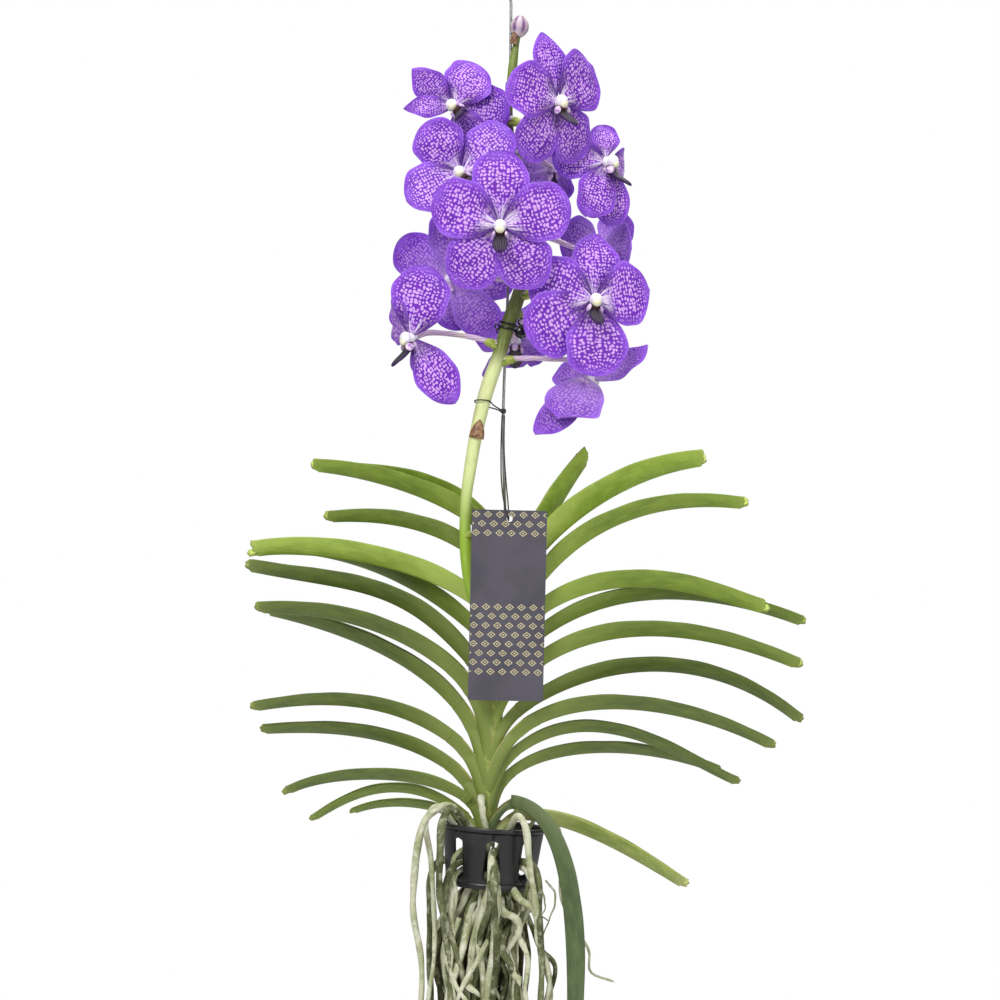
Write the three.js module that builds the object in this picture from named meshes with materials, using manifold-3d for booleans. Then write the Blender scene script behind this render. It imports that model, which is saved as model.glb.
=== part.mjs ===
// A vanda orchid in flower. It grows from a small slotted pot that hangs on one steel wire, with its
// bare roots trailing below, a clip and a tie that hold the flower stem to the wire, and a card tag.
// Millimetres, +Z up, seen from -Y. The origin is the top of the inside of the hook, which bears the load.

import * as THREE from 'three';
import { mergeVertices } from 'three/addons/utils/BufferGeometryUtils.js';
import Module from 'manifold-3d';

const wasm = await Module();
wasm.setup();

const GAP = 0.3; // between pieces that touch

// ---------------------------------------------------------------------------------------------
// Driving dimensions

const WIRE = { radius: 1, sides: 6, hookRadius: 13 };
// The one wire is two nodes, so that the hook's collision follows its bend. They meet at this height.
const WIRE_SPLIT = -60;

const POT = {
  centre: [-12, 0, -627],
  tilt: 4, // degrees, right side down
  topRadius: 35.5,
  bottomRadius: 31,
  height: 43,
  wall: 1.8,
  rimWidth: 2.2,
  rimHeight: 3,
  floorHole: 25,
  sides: 20,
  slots: 8,
  slotWidth: 9,
  slotTop: -9,
  slotBottom: -36,
};

// The stem leans: its axis runs from the pot up to the youngest leaves.
const STEM_AXIS = [[-18, 0, -640], [-16, 0, -582], [-10, 0, -533], [-3.5, 0, -484], [3, 0, -441], [4, 0, -430]];
const STEM = { lowRadius: 6.8, highRadius: 4.7, sides: 6, steps: 4, sheathLength: 14, sheathHalf: 6.8 };

const LEAF = {
  rows: 7,
  thickness: 1.4,
  bladeStart: 0.05, // where the sheath ends and the blade starts, as a part of the way to the tip
  baseFold: 80, // degrees that each half stands up from level at the stem
  openFold: 45, // and from the middle of the blade to its tip
  bite: 5, // how far the notch at the tip cuts in along the keel
  tipReach: [6, 3], // how far the two lobes of the tip pass the end of the keel
};

// Each blade follows its keel from the sheath to the tip. from and to are the ends of the keel, launch
// and arrive its slopes there in degrees above level, rise and ease its handles as parts of the chord.
// half is the width of one half of the blade, and roll turns the blade's trough towards the front.
const LEAVES = [
  { name: 'leaf_left_01', from: [-14.7, -1, -428], launch: 43, rise: 0.38, to: [-141, 4, -380], arrive: 3, ease: 0.16, half: 17, roll: 0 },
  { name: 'leaf_left_02', from: [-12, 11, -427], launch: 47, rise: 0.41, to: [-117, 28, -381.5], arrive: 9, ease: 0.44, half: 15, roll: 6 },
  { name: 'leaf_left_03', from: [-14.7, -1, -451], launch: 44, rise: 0.33, to: [-130, -6, -416], arrive: -4, ease: 0.41, half: 15, roll: 0 },
  { name: 'leaf_left_04', from: [-14.7, -2, -485], launch: 48, rise: 0.35, to: [-181, -14, -441], arrive: -28, ease: 0.1, half: 17, roll: 17 },
  { name: 'leaf_left_05', from: [-15, 5, -506], launch: 46, rise: 0.29, to: [-168, 26, -437], arrive: 1, ease: 0.4, half: 15, roll: 0 },
  { name: 'leaf_left_06', from: [-17.5, 0, -532], launch: 53, rise: 0.5, to: [-186.5, -14, -449], arrive: 12, ease: 0.45, half: 16, roll: 4, bladeStart: 0.09 },
  { name: 'leaf_left_07', from: [-19, 0, -551], launch: 60, rise: 0.26, to: [-177.5, -18, -479], arrive: -2, ease: 0.44, half: 15, roll: 0, bladeStart: 0.19 },
  { name: 'leaf_left_08', from: [-23.5, 0, -574.5], launch: 68, rise: 0.3, to: [-174.5, 12, -480.5], arrive: 12, ease: 0.41, half: 14, roll: 0, bladeStart: 0.15 },
  { name: 'leaf_left_09', from: [-22, 0, -590], launch: 48, rise: 0.42, to: [-181, -10, -548], arrive: -10, ease: 0.32, half: 13, roll: 4, bladeStart: 0.15 },
  { name: 'leaf_left_10', from: [-24, 0, -608], launch: 49, rise: 0.42, to: [-177, 14, -565], arrive: -3, ease: 0.2, half: 12.5, roll: 0, bladeStart: 0.15 },
  { name: 'leaf_left_11', from: [-27, -4, -617], launch: 50, rise: 0.29, to: [-157, -14, -607], arrive: -37, ease: 0.2, half: 11, roll: 4 },
  { name: 'leaf_left_12', from: [-29, 4, -627], launch: 40, rise: 0.6, to: [-140, 8, -627], arrive: -30, ease: 0.2, half: 9, roll: 0 },
  { name: 'leaf_left_13', from: [-28, 11, -632.5], launch: 41, rise: 0.33, to: [-114, 30, -624], arrive: -27, ease: 0.27, half: 8, roll: 0 },
  { name: 'leaf_right_01', from: [15, 12, -446], launch: 73, rise: 0.24, to: [57.5, 27, -371], arrive: 42, ease: 0.1, half: 19, roll: 0, bladeStart: 0.09 },
  { name: 'leaf_right_02', from: [14.7, -1, -448], launch: 55, rise: 0.27, to: [139, 10, -376], arrive: 6, ease: 0.38, half: 21, roll: 4 },
  { name: 'leaf_right_03', from: [13, 0, -472], launch: 58, rise: 0.36, to: [165, -8, -407], arrive: -8, ease: 0.4, half: 16, roll: 0 },
  { name: 'leaf_right_04', from: [9, 0, -491], launch: 42, rise: 0.5, to: [179, -12, -480], arrive: -10, ease: 0.16, half: 16, roll: 12, bladeStart: 0.08 },
  { name: 'leaf_right_05', from: [7, 2, -510], launch: 44, rise: 0.33, to: [207, 14, -490], arrive: -21, ease: 0.44, half: 14, roll: 0 },
  { name: 'leaf_right_06', from: [6, 0, -529], launch: 43, rise: 0.35, to: [201, -12, -519], arrive: -23, ease: 0.39, half: 15, roll: 3, bladeStart: 0.08 },
  { name: 'leaf_right_07', from: [1, 0, -555], launch: 38, rise: 0.32, to: [203, 10, -559], arrive: -40, ease: 0.44, half: 14, roll: 0 },
  { name: 'leaf_right_08', from: [-5, -2, -576], launch: 50, rise: 0.3, to: [182, -14, -575], arrive: -28, ease: 0.4, half: 13.5, roll: 3, bladeStart: 0.13 },
  { name: 'leaf_right_09', from: [-5, 4, -588], launch: 45, rise: 0.5, to: [161, 16, -602], arrive: -18, ease: 0.2, half: 11, roll: 0 },
  { name: 'leaf_right_10', from: [-6, 8, -603], launch: 55, rise: 0.22, to: [148, 32, -595], arrive: -22, ease: 0.43, half: 11, roll: 0 },
  { name: 'leaf_right_11', from: [-3, 2, -624], launch: 3, rise: 0.3, to: [121, -20, -671], arrive: -31, ease: 0.4, half: 13, roll: 0 },
  { name: 'leaf_right_12', from: [-6, -9, -614], launch: 6, rise: 0.3, to: [39, -40, -773], arrive: -88, ease: 0.3, half: 14, roll: 40, spread: 0.95 },
];

// The flower stem leaves an axil low on the stem, comes out in front of the left leaves, bends back to
// the wire and climbs beside it to the last bud. Each point has the stem's radius there.
const SPIKE_ROUTE = [
  [-15, -12.5, -502, 4.2], [-22.4, -15, -477, 4.6], [-28.6, -16, -456, 4.6], [-31.3, -16, -435, 4.2],
  [-32, -15, -414, 3.9], [-31.4, -15, -400, 3.9], [-28.6, -14, -379, 4.1], [-23.7, -12, -351, 4.7],
  [-16.8, -10, -323, 4.9], [-8.4, -9.5, -299, 5], [-0.7, -9, -274, 5], [6.3, -8, -253.5, 4.6],
  [9, -8, -232.6, 4.2], [7.6, -8, -205, 3.9], [4.2, -7, -177, 3.4], [0.7, -7, -156, 3], [-1.4, -7, -135, 2.8],
  [-0.7, -6, -114, 2.6], [1.4, -6, -96, 3], [3.5, -5, -82, 2.2], [4.6, -5, -76, 2.2],
];
const SPIKE = { sides: 6, steps: 25, pedicelSides: 5, pedicelSteps: 3, pedicelRadius: 1.9, bractRadius: 3.6 };
const BUD = { from: [4.7, -5.8, -76.6], to: [6.8, -5.8, -62], radius: 6.5, sides: 8 };

const BLOOM = {
  stations: [0, 0.2, 0.46, 0.76, 1], // places along a tepal that have a row of points
  thickness: 0.9,
  claw: 0.13, // half width at the base, as a part of the widest half width
  seat: 4, // from the flower's centre back to the end of its stalk
};

// The five tepals of a full flower: angle from straight up, reach from the centre, full width, how far
// the blade leans back, and how slowly it widens from its claw. The two petals are a little in front.
const TEPALS = {
  dorsal: { angle: 0, reach: 52, width: 40, lean: 5, lift: -1, claw: 1.6 },
  petalLeft: { angle: -74, reach: 50, width: 42, lean: 3, lift: 2, claw: 0.9 },
  petalRight: { angle: 76, reach: 51, width: 42, lean: 3, lift: 2, claw: 0.9 },
  sepalLeft: { angle: -143, reach: 52, width: 41, lean: 2, lift: -1, claw: 1.1 },
  sepalRight: { angle: 146, reach: 51, width: 41, lean: 2, lift: -1, claw: 1.1 },
};

// at is a flower's centre. yaw turns its face from the front towards the right, pitch lifts it and
// roll turns it clockwise. A tepal with a tip of its own, measured from the centre, stands that way
// instead, facing is the way that its upper face looks, and its own claw widens sooner or later.
const BLOOMS = [
  {
    name: 'bloom_01', at: [31.5, -40, -126], yaw: 43, pitch: -4, roll: -3, size: 0.93,
    tepals: {
      dorsal: { tip: [-9.5, -3, 48.3], width: 32 },
      petalRight: { tip: [25, 24, 28], width: 47 },
    },
  },
  {
    name: 'bloom_02', at: [-39.1, -13, -126], yaw: -24, pitch: 0, roll: -50, size: 0.92,
    tepals: {
      dorsal: { tip: [-30, -10, 24.5], width: 24 },
      petalLeft: { tip: [-35.7, -12, -2.5], width: 16 },
      petalRight: { tip: [18, -4, 28], width: 38 },
      sepalRight: { tip: [38, -9, -5], width: 36 },
      sepalLeft: { tip: [12, -2, -24], width: 28 },
    },
  },
  {
    name: 'bloom_03', at: [-34, -24, -174], yaw: -18, pitch: 6, roll: -38, size: 0.95,
    tepals: {
      dorsal: { tip: [-26.5, -4, 35], width: 37 },
      petalRight: { tip: [34, -2, 31], width: 37 },
      petalLeft: { tip: [-39, -6, -19], width: 38 },
      sepalRight: { tip: [32, 8, -26], width: 32 },
      sepalLeft: { tip: [-6, 2, -38], width: 34 },
    },
  },
  {
    name: 'bloom_04', at: [66.4, -8, -164], yaw: 66, pitch: -4, roll: 0, size: 0.9,
    tepals: {
      petalLeft: { tip: [-38, 0, 4], width: 30, facing: [0, -1, 0] },
      dorsal: { tip: [-1.5, 4, 27], width: 23, facing: [0.4, -0.9, 0] },
      petalRight: { tip: [13, 30, -4], width: 28 },
      sepalLeft: { tip: [-12, -14, -39], width: 32, facing: [0.4, -0.9, 0] },
      sepalRight: { tip: [6, 4, -45], width: 28, facing: [0.4, -0.9, 0] },
    },
  },
  {
    name: 'bloom_05', at: [-7.7, -58, -212.8], yaw: 0, pitch: -10, roll: 0, size: 1,
    tepals: {
      petalLeft: { tip: [-45.6, -1, 20.5], width: 42 },
      petalRight: { tip: [48, 0, 17], width: 42 },
    },
  },
  {
    name: 'bloom_06', at: [57, -35, -262], yaw: 18, pitch: -6, roll: 8, size: 1,
    tepals: {
      dorsal: { tip: [1, 4, 47], width: 36 },
      petalRight: { tip: [39, 8, 8], width: 46 },
      petalLeft: { tip: [-44, -5, 15], width: 44 },
      sepalLeft: { tip: [-45, -10, -28], width: 48 },
      sepalRight: { tip: [3, -4, -53], width: 46 },
    },
  },
  {
    name: 'bloom_07', at: [-68.8, -20, -287], yaw: -65, pitch: -15, roll: 0, size: 1,
    tepals: {
      petalRight: { tip: [13, -10, 49], width: 45, facing: [-0.35, -0.93, 0] },
      dorsal: { tip: [-15, 8, 28], width: 30 },
      petalLeft: { tip: [-14, 26, 20], width: 34 },
      sepalRight: { tip: [30, -12, -46], width: 32, facing: [-0.35, -0.93, 0] },
      sepalLeft: { tip: [16, 18, -42], width: 34 },
    },
  },
  {
    name: 'bloom_08', at: [55, -8, -315], yaw: 141, pitch: -50, roll: 0, size: 1,
    tepals: {
      petalLeft: { tip: [40, -6, 23.5], width: 26, facing: [0.3, 0.6, -0.75], claw: 0.5 },
      sepalLeft: { tip: [-22, -24, -31], width: 44, facing: [0.2, 0.8, -0.55], claw: 0.5 },
      sepalRight: { tip: [-38, -12, -41], width: 28, facing: [0.2, 0.85, -0.5] },
      petalRight: { tip: [-18, 34, 12], width: 34 },
      dorsal: { tip: [14, 36, 20], width: 34 },
    },
  },
  {
    name: 'bloom_09', at: [-43, 22, -244], yaw: -160, pitch: -6, roll: -6, size: 1,
    tepals: {
      petalRight: { tip: [-37, -2, 27], width: 36 },
      sepalLeft: { tip: [32, 0, -41], width: 34 },
      sepalRight: { tip: [6, 0, -37], width: 30 },
    },
  },
  {
    name: 'bloom_10', at: [61.7, 36, -223], yaw: 120, pitch: 0, roll: 0, size: 0.95,
    tepals: {
      petalLeft: { tip: [22, -38, -2], width: 38 },
      dorsal: { tip: [21, 4, 26], width: 28, facing: [0.3, 0.9, 0.1] },
    },
  },
  {
    name: 'bloom_11', at: [3, 36, -286], yaw: 180, pitch: -12, roll: 0, size: 1,
    tepals: {
      petalRight: { tip: [-25, 30, 14], width: 34 },
      sepalRight: { tip: [-23, 12, -26], width: 20, facing: [-0.6, 0.3, 0.7] },
      sepalLeft: { tip: [4, 34, -16], width: 30 },
      petalLeft: { tip: [20, 34, -2], width: 34 },
      dorsal: { tip: [28, 24, 20], width: 34 },
    },
  },
  {
    name: 'bloom_12', at: [27.7, 28, -165], yaw: 176, pitch: 0, roll: 0, size: 0.9,
    tepals: {
      petalLeft: { tip: [34, 2, 22], width: 34 },
      sepalLeft: { tip: [10, 16, -21], width: 22 },
    },
  },
];

// Where each flower's stalk leaves the flower stem, as a height on it, and the stalks that bend round
// the wire on their way.
const PEDICEL_HEIGHTS = {
  bloom_01: -134, bloom_02: -118, bloom_03: -170, bloom_04: -158, bloom_05: -232, bloom_06: -256,
  bloom_07: -292, bloom_08: -302, bloom_09: -248, bloom_10: -214, bloom_11: -264, bloom_12: -150,
};
const PEDICEL_BENDS = {
  bloom_01: [8, -13, -136], bloom_09: [-14, -9, -245], bloom_11: [7, 4, -274],
};

// Roots that show one by one, from the crown in the pot to the tip. Each has its radius at the crown.
const ROOTS = [
  { radius: 2.9, route: [[-16, -4, -652], [-29, -16, -632.5], [-44, -24, -612], [-58, -28, -619], [-65, -27, -642], [-67, -24, -680], [-62, -20, -716], [-64, -16, -770], [-60, -12, -824]] },
  { radius: 3, route: [[-16, -6, -650], [-31, -20, -625], [-42, -29, -613], [-48, -35, -622], [-49, -38, -650], [-46, -36, -684], [-38, -32, -712], [-32, -28, -738], [-34, -24, -800]] },
  { radius: 2.2, route: [[-16, 0, -650], [-36, -10, -630.5], [-50, -11, -613], [-58, -14, -624], [-56, -17, -650], [-54, -24, -684], [-55, -25, -722], [-57, -22, -756], [-54, -18, -812]] },
  { radius: 4.2, route: [[-14, -4, -656], [-13, -9, -672], [-12, -24, -684], [-10, -27, -706], [-15, -26, -740], [-20, -20, -790], [-18, -15, -850], [-24, -10, -916]] },
  { radius: 2.8, route: [[-16, -3, -656], [-22, -8, -674], [-29, -22, -690], [-34, -29, -712], [-45, -30, -744], [-44, -20, -830]] },
  { radius: 3, route: [[-10, -4, -656], [-6, -9, -674], [1, -22, -692], [-6, -30, -708], [3, -26, -730], [2, -18, -800], [8, -12, -862]] },
  { radius: 2.6, route: [[-12, -4, -652], [-2, -22, -630], [4, -33, -618], [9, -40, -624], [14, -38, -650], [18, -34, -684], [20, -28, -712], [26, -22, -740], [18, -20, -800]] },
  { radius: 2.2, route: [[-10, 2, -656], [0, 6, -672], [10, 4, -690], [22, -4, -714], [32, -12, -724], [24, -16, -752], [16, -12, -824]] },
  { radius: 1.5, route: [[-12, 4, -652], [8, 10, -636], [20, 14, -620], [33, 16, -630], [37, 12, -680], [46, 4, -702], [54, 0, -716], [55, -2, -730], [71, -4, -737]] },
];
const ROOT = { sides: 4, tip: 0.55 };
const ROOT_CROWN = [[-15, 0, -646], [-14, 0, -656], [-13, 1, -672], [-12, 1, -684]];
const ROOT_CROWN_RADIUS = 13;

// Roots that leave through the pot's slots and hang down its outside: how far out and how high.
const SLOT_ROOTS = {
  turns: [135, 180, 225, 270, 315], radius: 2.6,
  route: [[8, -656], [24, -651], [39, -654], [46, -668], [45, -704], [41, -764], [33, -828]],
};

// The tangle below the pot: roots that leave through its open floor and spread as they hang.
const TANGLE = {
  count: 15, seed: 5, sides: 4, axis: [-21, 0], top: -662, topOut: 11, floor: -678, floorOut: 20, spread: 33,
  shortest: 80, longest: 220,
  radius: 2.9,
};

const CLIP = { at: [-2.2, -9, -279], ringRadius: 5.7, band: 1.5, height: 3, discRadius: 4.6, discAt: [7, -11, -283] };

const TAG = { width: 52, height: 132, thickness: 0.8, lean: 1.3, holeRadius: 2.2, holeDrop: 6, top: [-1, -26, -407] };

// The tag's cord: from the knot on the wire down through the hole and back up to the knot.
const CORD = { radius: 0.5, sides: 7, steps: 50 };
const KNOT = { at: [-5.4, -4, -338], radius: 2.4 };
const CORD_ROUTE = [
  [-6.2, -5, -340.8], [-6.6, -8, -350], [-7, -13, -368], [-6.6, -19, -388], [-5, -26.2, -401], [-3.2, -28.2, -408],
  [-2.3, -28.6, -412.8], [-1.9, -26.4, -414.4], [-1.6, -24, -412.4], [-2, -22.4, -404], [-3.6, -17, -386],
  [-4.8, -11, -366], [-4.8, -6.6, -350], [-4.6, -4.4, -341],
];
const TIE_ROUTE = [[-7, -4, -337], [-12, -8, -334], [-15.6, -15.4, -331], [-22, -17.4, -330.4], [-25.4, -12, -331],
  [-22.8, -6, -333], [-16, -3.6, -335], [-9, -1.4, -337], [-7, -1, -338]];

// ---------------------------------------------------------------------------------------------
// Geometry helpers

const UP = new THREE.Vector3(0, 0, 1);
const FRONT = new THREE.Vector3(0, -1, 0);
const rad = THREE.MathUtils.degToRad;
const mix = THREE.MathUtils.lerp;
const smooth = (t) => t * t * (3 - 2 * t);
const point = (xyz) => new THREE.Vector3(xyz[0], xyz[1], xyz[2]);

// Closed geometry on shared points, turned so that its faces point out.
function closedGeometry(points, triangles) {
  let volume = 0;
  for (const [a, b, c] of triangles) volume += points[a].dot(points[b].clone().cross(points[c]));
  const order = volume < 0 ? triangles.map(([a, b, c]) => [a, c, b]) : triangles;
  const geometry = new THREE.BufferGeometry();
  const flat = points.flatMap((p) => p.toArray());
  geometry.setAttribute('position', new THREE.Float32BufferAttribute(flat, 3));
  geometry.setIndex(order.flat());
  return geometry;
}

// A thin closed sheet between two grids of points. Both faces are split into triangles alike.
function sheet(front, back) {
  const rows = front.length;
  const columns = front[0].length;
  const points = [...front.flat(), ...back.flat()];
  const at = (side, i, j) => (side * rows + i) * columns + j;
  const triangles = [];
  const quad = (a, b, c, d) => triangles.push([a, b, c], [a, c, d]);
  const edge = (i, j, k, l) => quad(at(0, i, j), at(0, k, l), at(1, k, l), at(1, i, j));
  for (let i = 0; i < rows - 1; i++) {
    for (let j = 0; j < columns - 1; j++) {
      quad(at(0, i, j), at(0, i, j + 1), at(0, i + 1, j + 1), at(0, i + 1, j));
      triangles.push([at(1, i, j), at(1, i + 1, j + 1), at(1, i, j + 1)]);
      triangles.push([at(1, i, j), at(1, i + 1, j), at(1, i + 1, j + 1)]);
    }
    edge(i, 0, i + 1, 0);
    edge(i + 1, columns - 1, i, columns - 1);
  }
  for (let j = 0; j < columns - 1; j++) {
    edge(0, j + 1, 0, j);
    edge(rows - 1, j, rows - 1, j + 1);
  }
  return closedGeometry(points, triangles);
}

// A closed skin over rings with the same number of points, each end closed by a fan.
function skin(rings) {
  const sides = rings[0].length;
  const triangles = [];
  for (let i = 0; i < rings.length - 1; i++) {
    for (let k = 0; k < sides; k++) {
      const a = i * sides + k;
      const b = i * sides + ((k + 1) % sides);
      triangles.push([a, b, b + sides], [a, b + sides, a + sides]);
    }
  }
  const last = (rings.length - 1) * sides;
  for (let k = 1; k < sides - 1; k++) {
    triangles.push([0, k + 1, k]);
    triangles.push([last, last + k, last + k + 1]);
  }
  return closedGeometry(rings.flat(), triangles);
}

// A round bar along a smooth line through the points, with a radius for each place from 0 to 1.
// With no steps its rings stand at the points themselves.
function bar(points, radiusAt, sides, steps) {
  const curve = new THREE.CatmullRomCurve3(points, false, 'centripetal');
  const count = steps ?? points.length - 1;
  const normal = new THREE.Vector3();
  const rings = [];
  for (let i = 0; i <= count; i++) {
    const t = steps ? curve.getUtoTmapping(i / count) : i / count;
    const centre = curve.getPoint(t);
    const along = curve.getTangent(t);
    if (i === 0) normal.crossVectors(along, Math.abs(along.z) < 0.8 ? UP : FRONT);
    normal.addScaledVector(along, -normal.dot(along)).normalize();
    const binormal = along.cross(normal);
    const radius = radiusAt(i / count);
    const ring = [];
    for (let k = 0; k < sides; k++) {
      const turn = (2 * Math.PI * k) / sides;
      const out = normal.clone().multiplyScalar(Math.cos(turn) * radius);
      ring.push(out.addScaledVector(binormal, Math.sin(turn) * radius).add(centre));
    }
    rings.push(ring);
  }
  return skin(rings);
}

function toSolid(geometry) {
  const bare = geometry.clone();
  bare.deleteAttribute('normal');
  bare.deleteAttribute('uv');
  const merged = mergeVertices(bare, 1e-4);
  const vertProperties = Float32Array.from(merged.attributes.position.array);
  const triVerts = Uint32Array.from(merged.index.array);
  return new wasm.Manifold(new wasm.Mesh({ numProp: 3, vertProperties, triVerts }));
}

function toGeometry(solid) {
  const { vertProperties, triVerts } = solid.getMesh();
  const geometry = new THREE.BufferGeometry();
  geometry.setAttribute('position', new THREE.Float32BufferAttribute(vertProperties, 3));
  geometry.setIndex(Array.from(triVerts));
  return geometry;
}

const join = (geometries) => geometries.map(toSolid).reduce((whole, next) => whole.add(next));
const fuse = (geometries) => toGeometry(join(geometries));

// A repeatable stream of numbers from 0 to 1.
function randomStream(seed) {
  let state = seed;
  return () => {
    state = (state * 16807) % 2147483647;
    return state / 2147483647;
  };
}

// ---------------------------------------------------------------------------------------------
// Materials

const finish = (color, roughness, metalness = 0) => new THREE.MeshStandardMaterial({ color, roughness, metalness });
const STEEL = finish(0xa9adb2, 0.35, 1);
const BLACK_PLASTIC = finish(0x141416, 0.35);
const LEAF_GREEN = finish(0x5f8a35, 0.45);
const STEM_GREEN = finish(0x8fa54a, 0.5);
const SPIKE_GREEN = finish(0x9fb45a, 0.45);
const VIOLET = finish(0x6a3fc0, 0.6);
const ROOT_SILVER = finish(0x9c9a80, 0.75);
const CARD = finish(0x57535f, 0.6);
const CORD_BLACK = finish(0x161616, 0.8);

const plant = new THREE.Group();

function place(name, geometry, material, parent = plant) {
  const mesh = new THREE.Mesh(geometry, material);
  mesh.name = name;
  parent.add(mesh);
  return mesh;
}

// ---------------------------------------------------------------------------------------------
// Hanger wire: a hook with a short return, a long straight run behind the flower stem, and a foot
// that leaves the pot through a slot and turns up, so that the pot's rim rests in it.

function wireHook() {
  const { radius, hookRadius, sides } = WIRE;
  const arc = [];
  for (let turn = 0; turn <= 180; turn += 22.5) {
    const [x, z] = [Math.cos(rad(turn)), Math.sin(rad(turn))];
    arc.push([hookRadius * x, 0, radius - hookRadius + hookRadius * z]);
  }
  const route = [
    [hookRadius + 3, 0, -28], [hookRadius + 0.6, 0, -20], ...arc,
    [-12, 0, -22], [-7, 0, -34], [-1.5, 0, -44], [0, 0, -52], [0, 0, WIRE_SPLIT],
  ];
  return bar(route.map(point), () => radius, sides);
}

function hangerWire() {
  const { radius, sides } = WIRE;
  const route = [
    [0, 0, WIRE_SPLIT - GAP], [-0.1, 0, -68], [-0.4, 0, -100], [-1, 0, -180], [-2.2, 0, -253],
    [-4.9, 0, -320], [-5.4, 0, -341], [-5.2, 1, -372], [-4.6, 8, -394], [-4, 16, -411], [-3.6, 19, -432], [-4.6, 19, -480],
    [-7, 17, -560], [-9, 17, -596], [-10.4, 22, -612], [-12, 29, -624], [-12.6, 30.4, -634],
    [-12.8, 33.6, -638.6], [-12.8, 37.6, -638], [-12.8, 39.4, -632], [-12.8, 40, -624],
  ];
  return bar(route.map(point), () => radius, sides);
}

// ---------------------------------------------------------------------------------------------
// Pot: a thin slotted cup with a rolled rim and a wide open floor.

function potBody() {
  const { topRadius, bottomRadius, height, wall, rimWidth, rimHeight, floorHole, sides } = POT;
  const profile = [
    [floorHole, -height], [bottomRadius, -height], [topRadius, -rimHeight], [topRadius + rimWidth, -rimHeight],
    [topRadius + rimWidth, 0], [topRadius - wall, 0], [bottomRadius - wall, wall - height],
    [floorHole, wall - height], [floorHole, -height],
  ];
  const lathe = new THREE.LatheGeometry(profile.map(([r, z]) => new THREE.Vector2(r, z)), sides);
  lathe.rotateX(Math.PI / 2);
  let body = toSolid(lathe);
  const { slots, slotWidth, slotTop, slotBottom } = POT;
  for (let k = 0; k < slots; k++) {
    const slot = new THREE.BoxGeometry(24, slotWidth, slotTop - slotBottom);
    slot.translate(topRadius - 4, 0, (slotTop + slotBottom) / 2);
    slot.rotateZ(Math.PI / 2 + (2 * Math.PI * k) / slots);
    body = body.subtract(toSolid(slot));
  }
  return toGeometry(body);
}

// ---------------------------------------------------------------------------------------------
// Leaves: keeled blades folded into a trough, nearly closed at the sheath and opening to the tip.

function leafCurve({ from, to, launch, arrive, rise, ease, spread = 0.3 }) {
  const start = point(from);
  const end = point(to);
  const side = Math.sign(to[0] - from[0]);
  const chord = start.distanceTo(end);
  const slope = (angle) => new THREE.Vector3(side * Math.cos(rad(angle)), 0, Math.sin(rad(angle)));
  const first = start.clone().addScaledVector(slope(launch), rise * chord);
  const second = end.clone().addScaledVector(slope(arrive), -ease * chord);
  first.y = mix(start.y, end.y, spread);
  second.y = mix(start.y, end.y, Math.max(spread, 0.7));
  return new THREE.CubicBezierCurve3(start, first, second, end);
}

// The blade's own directions at a place on its keel: along it, up out of the trough, and to the front.
function leafFrame(curve, t, side) {
  const along = curve.getTangentAt(t);
  const up = new THREE.Vector3(-side * along.z, 0, side * along.x);
  up.addScaledVector(along, -up.dot(along)).normalize();
  const front = up.clone().cross(along).multiplyScalar(side);
  return { along, up, front };
}

function bladeHalf(t, half) {
  const swell = mix(0.62, 1, smooth(Math.min(1, t / 0.45)));
  const taper = mix(1, 0.75, smooth(Math.max(0, (t - 0.45) / 0.55)) ** 1.6);
  return half * swell * taper;
}

const bladeFold = (t) => mix(LEAF.baseFold, LEAF.openFold, smooth(Math.min(1, 2 * t)));

function leafBlade(leaf) {
  const curve = leafCurve(leaf);
  const side = Math.sign(leaf.to[0] - leaf.from[0]);
  const bladeStart = leaf.bladeStart ?? LEAF.bladeStart;
  const outer = [];
  const inner = [];
  for (let i = 0; i < LEAF.rows; i++) {
    const t = mix(bladeStart, 1, i / (LEAF.rows - 1));
    const { along, up, front } = leafFrame(curve, t, side);
    const half = bladeHalf(t, leaf.half);
    const fold = bladeFold(t);
    const roll = leaf.roll * smooth(t);
    const atTip = i === LEAF.rows - 1 ? 1 : 0;
    const keel = curve.getPointAt(t).addScaledVector(along, -LEAF.bite * atTip);
    const margin = (angle, sign, reach) => keel.clone()
      .addScaledVector(front, sign * half * Math.cos(angle))
      .addScaledVector(up, half * Math.sin(angle))
      .addScaledVector(along, reach * atTip);
    const inward = (angle, sign, amount) => front.clone().multiplyScalar(-sign * Math.sin(angle) * amount)
      .addScaledVector(up, Math.cos(angle) * amount);
    const near = rad(fold - roll);
    const far = rad(fold + roll);
    const nearMargin = margin(near, 1, LEAF.tipReach[0]);
    const farMargin = margin(far, -1, LEAF.tipReach[1]);
    const trough = Math.min(LEAF.thickness / Math.cos(rad(fold)), 0.5 * half);
    outer.push([nearMargin, keel, farMargin]);
    inner.push([
      nearMargin.clone().add(inward(near, 1, 0.7 * LEAF.thickness)),
      keel.clone().addScaledVector(up, trough),
      farMargin.clone().add(inward(far, -1, 0.7 * LEAF.thickness)),
    ]);
  }
  return sheet(outer, inner);
}

// ---------------------------------------------------------------------------------------------
// Stem: a round core wrapped by the leaf sheaths, which cross left and right like a braid.

function stemPoint(height) {
  for (let k = 0; k < STEM_AXIS.length - 1; k++) {
    const [low, high] = [STEM_AXIS[k], STEM_AXIS[k + 1]];
    if (height <= high[2]) {
      return point(low).lerp(point(high), Math.max(0, (height - low[2]) / (high[2] - low[2])));
    }
  }
  return point(STEM_AXIS.at(-1));
}

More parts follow.
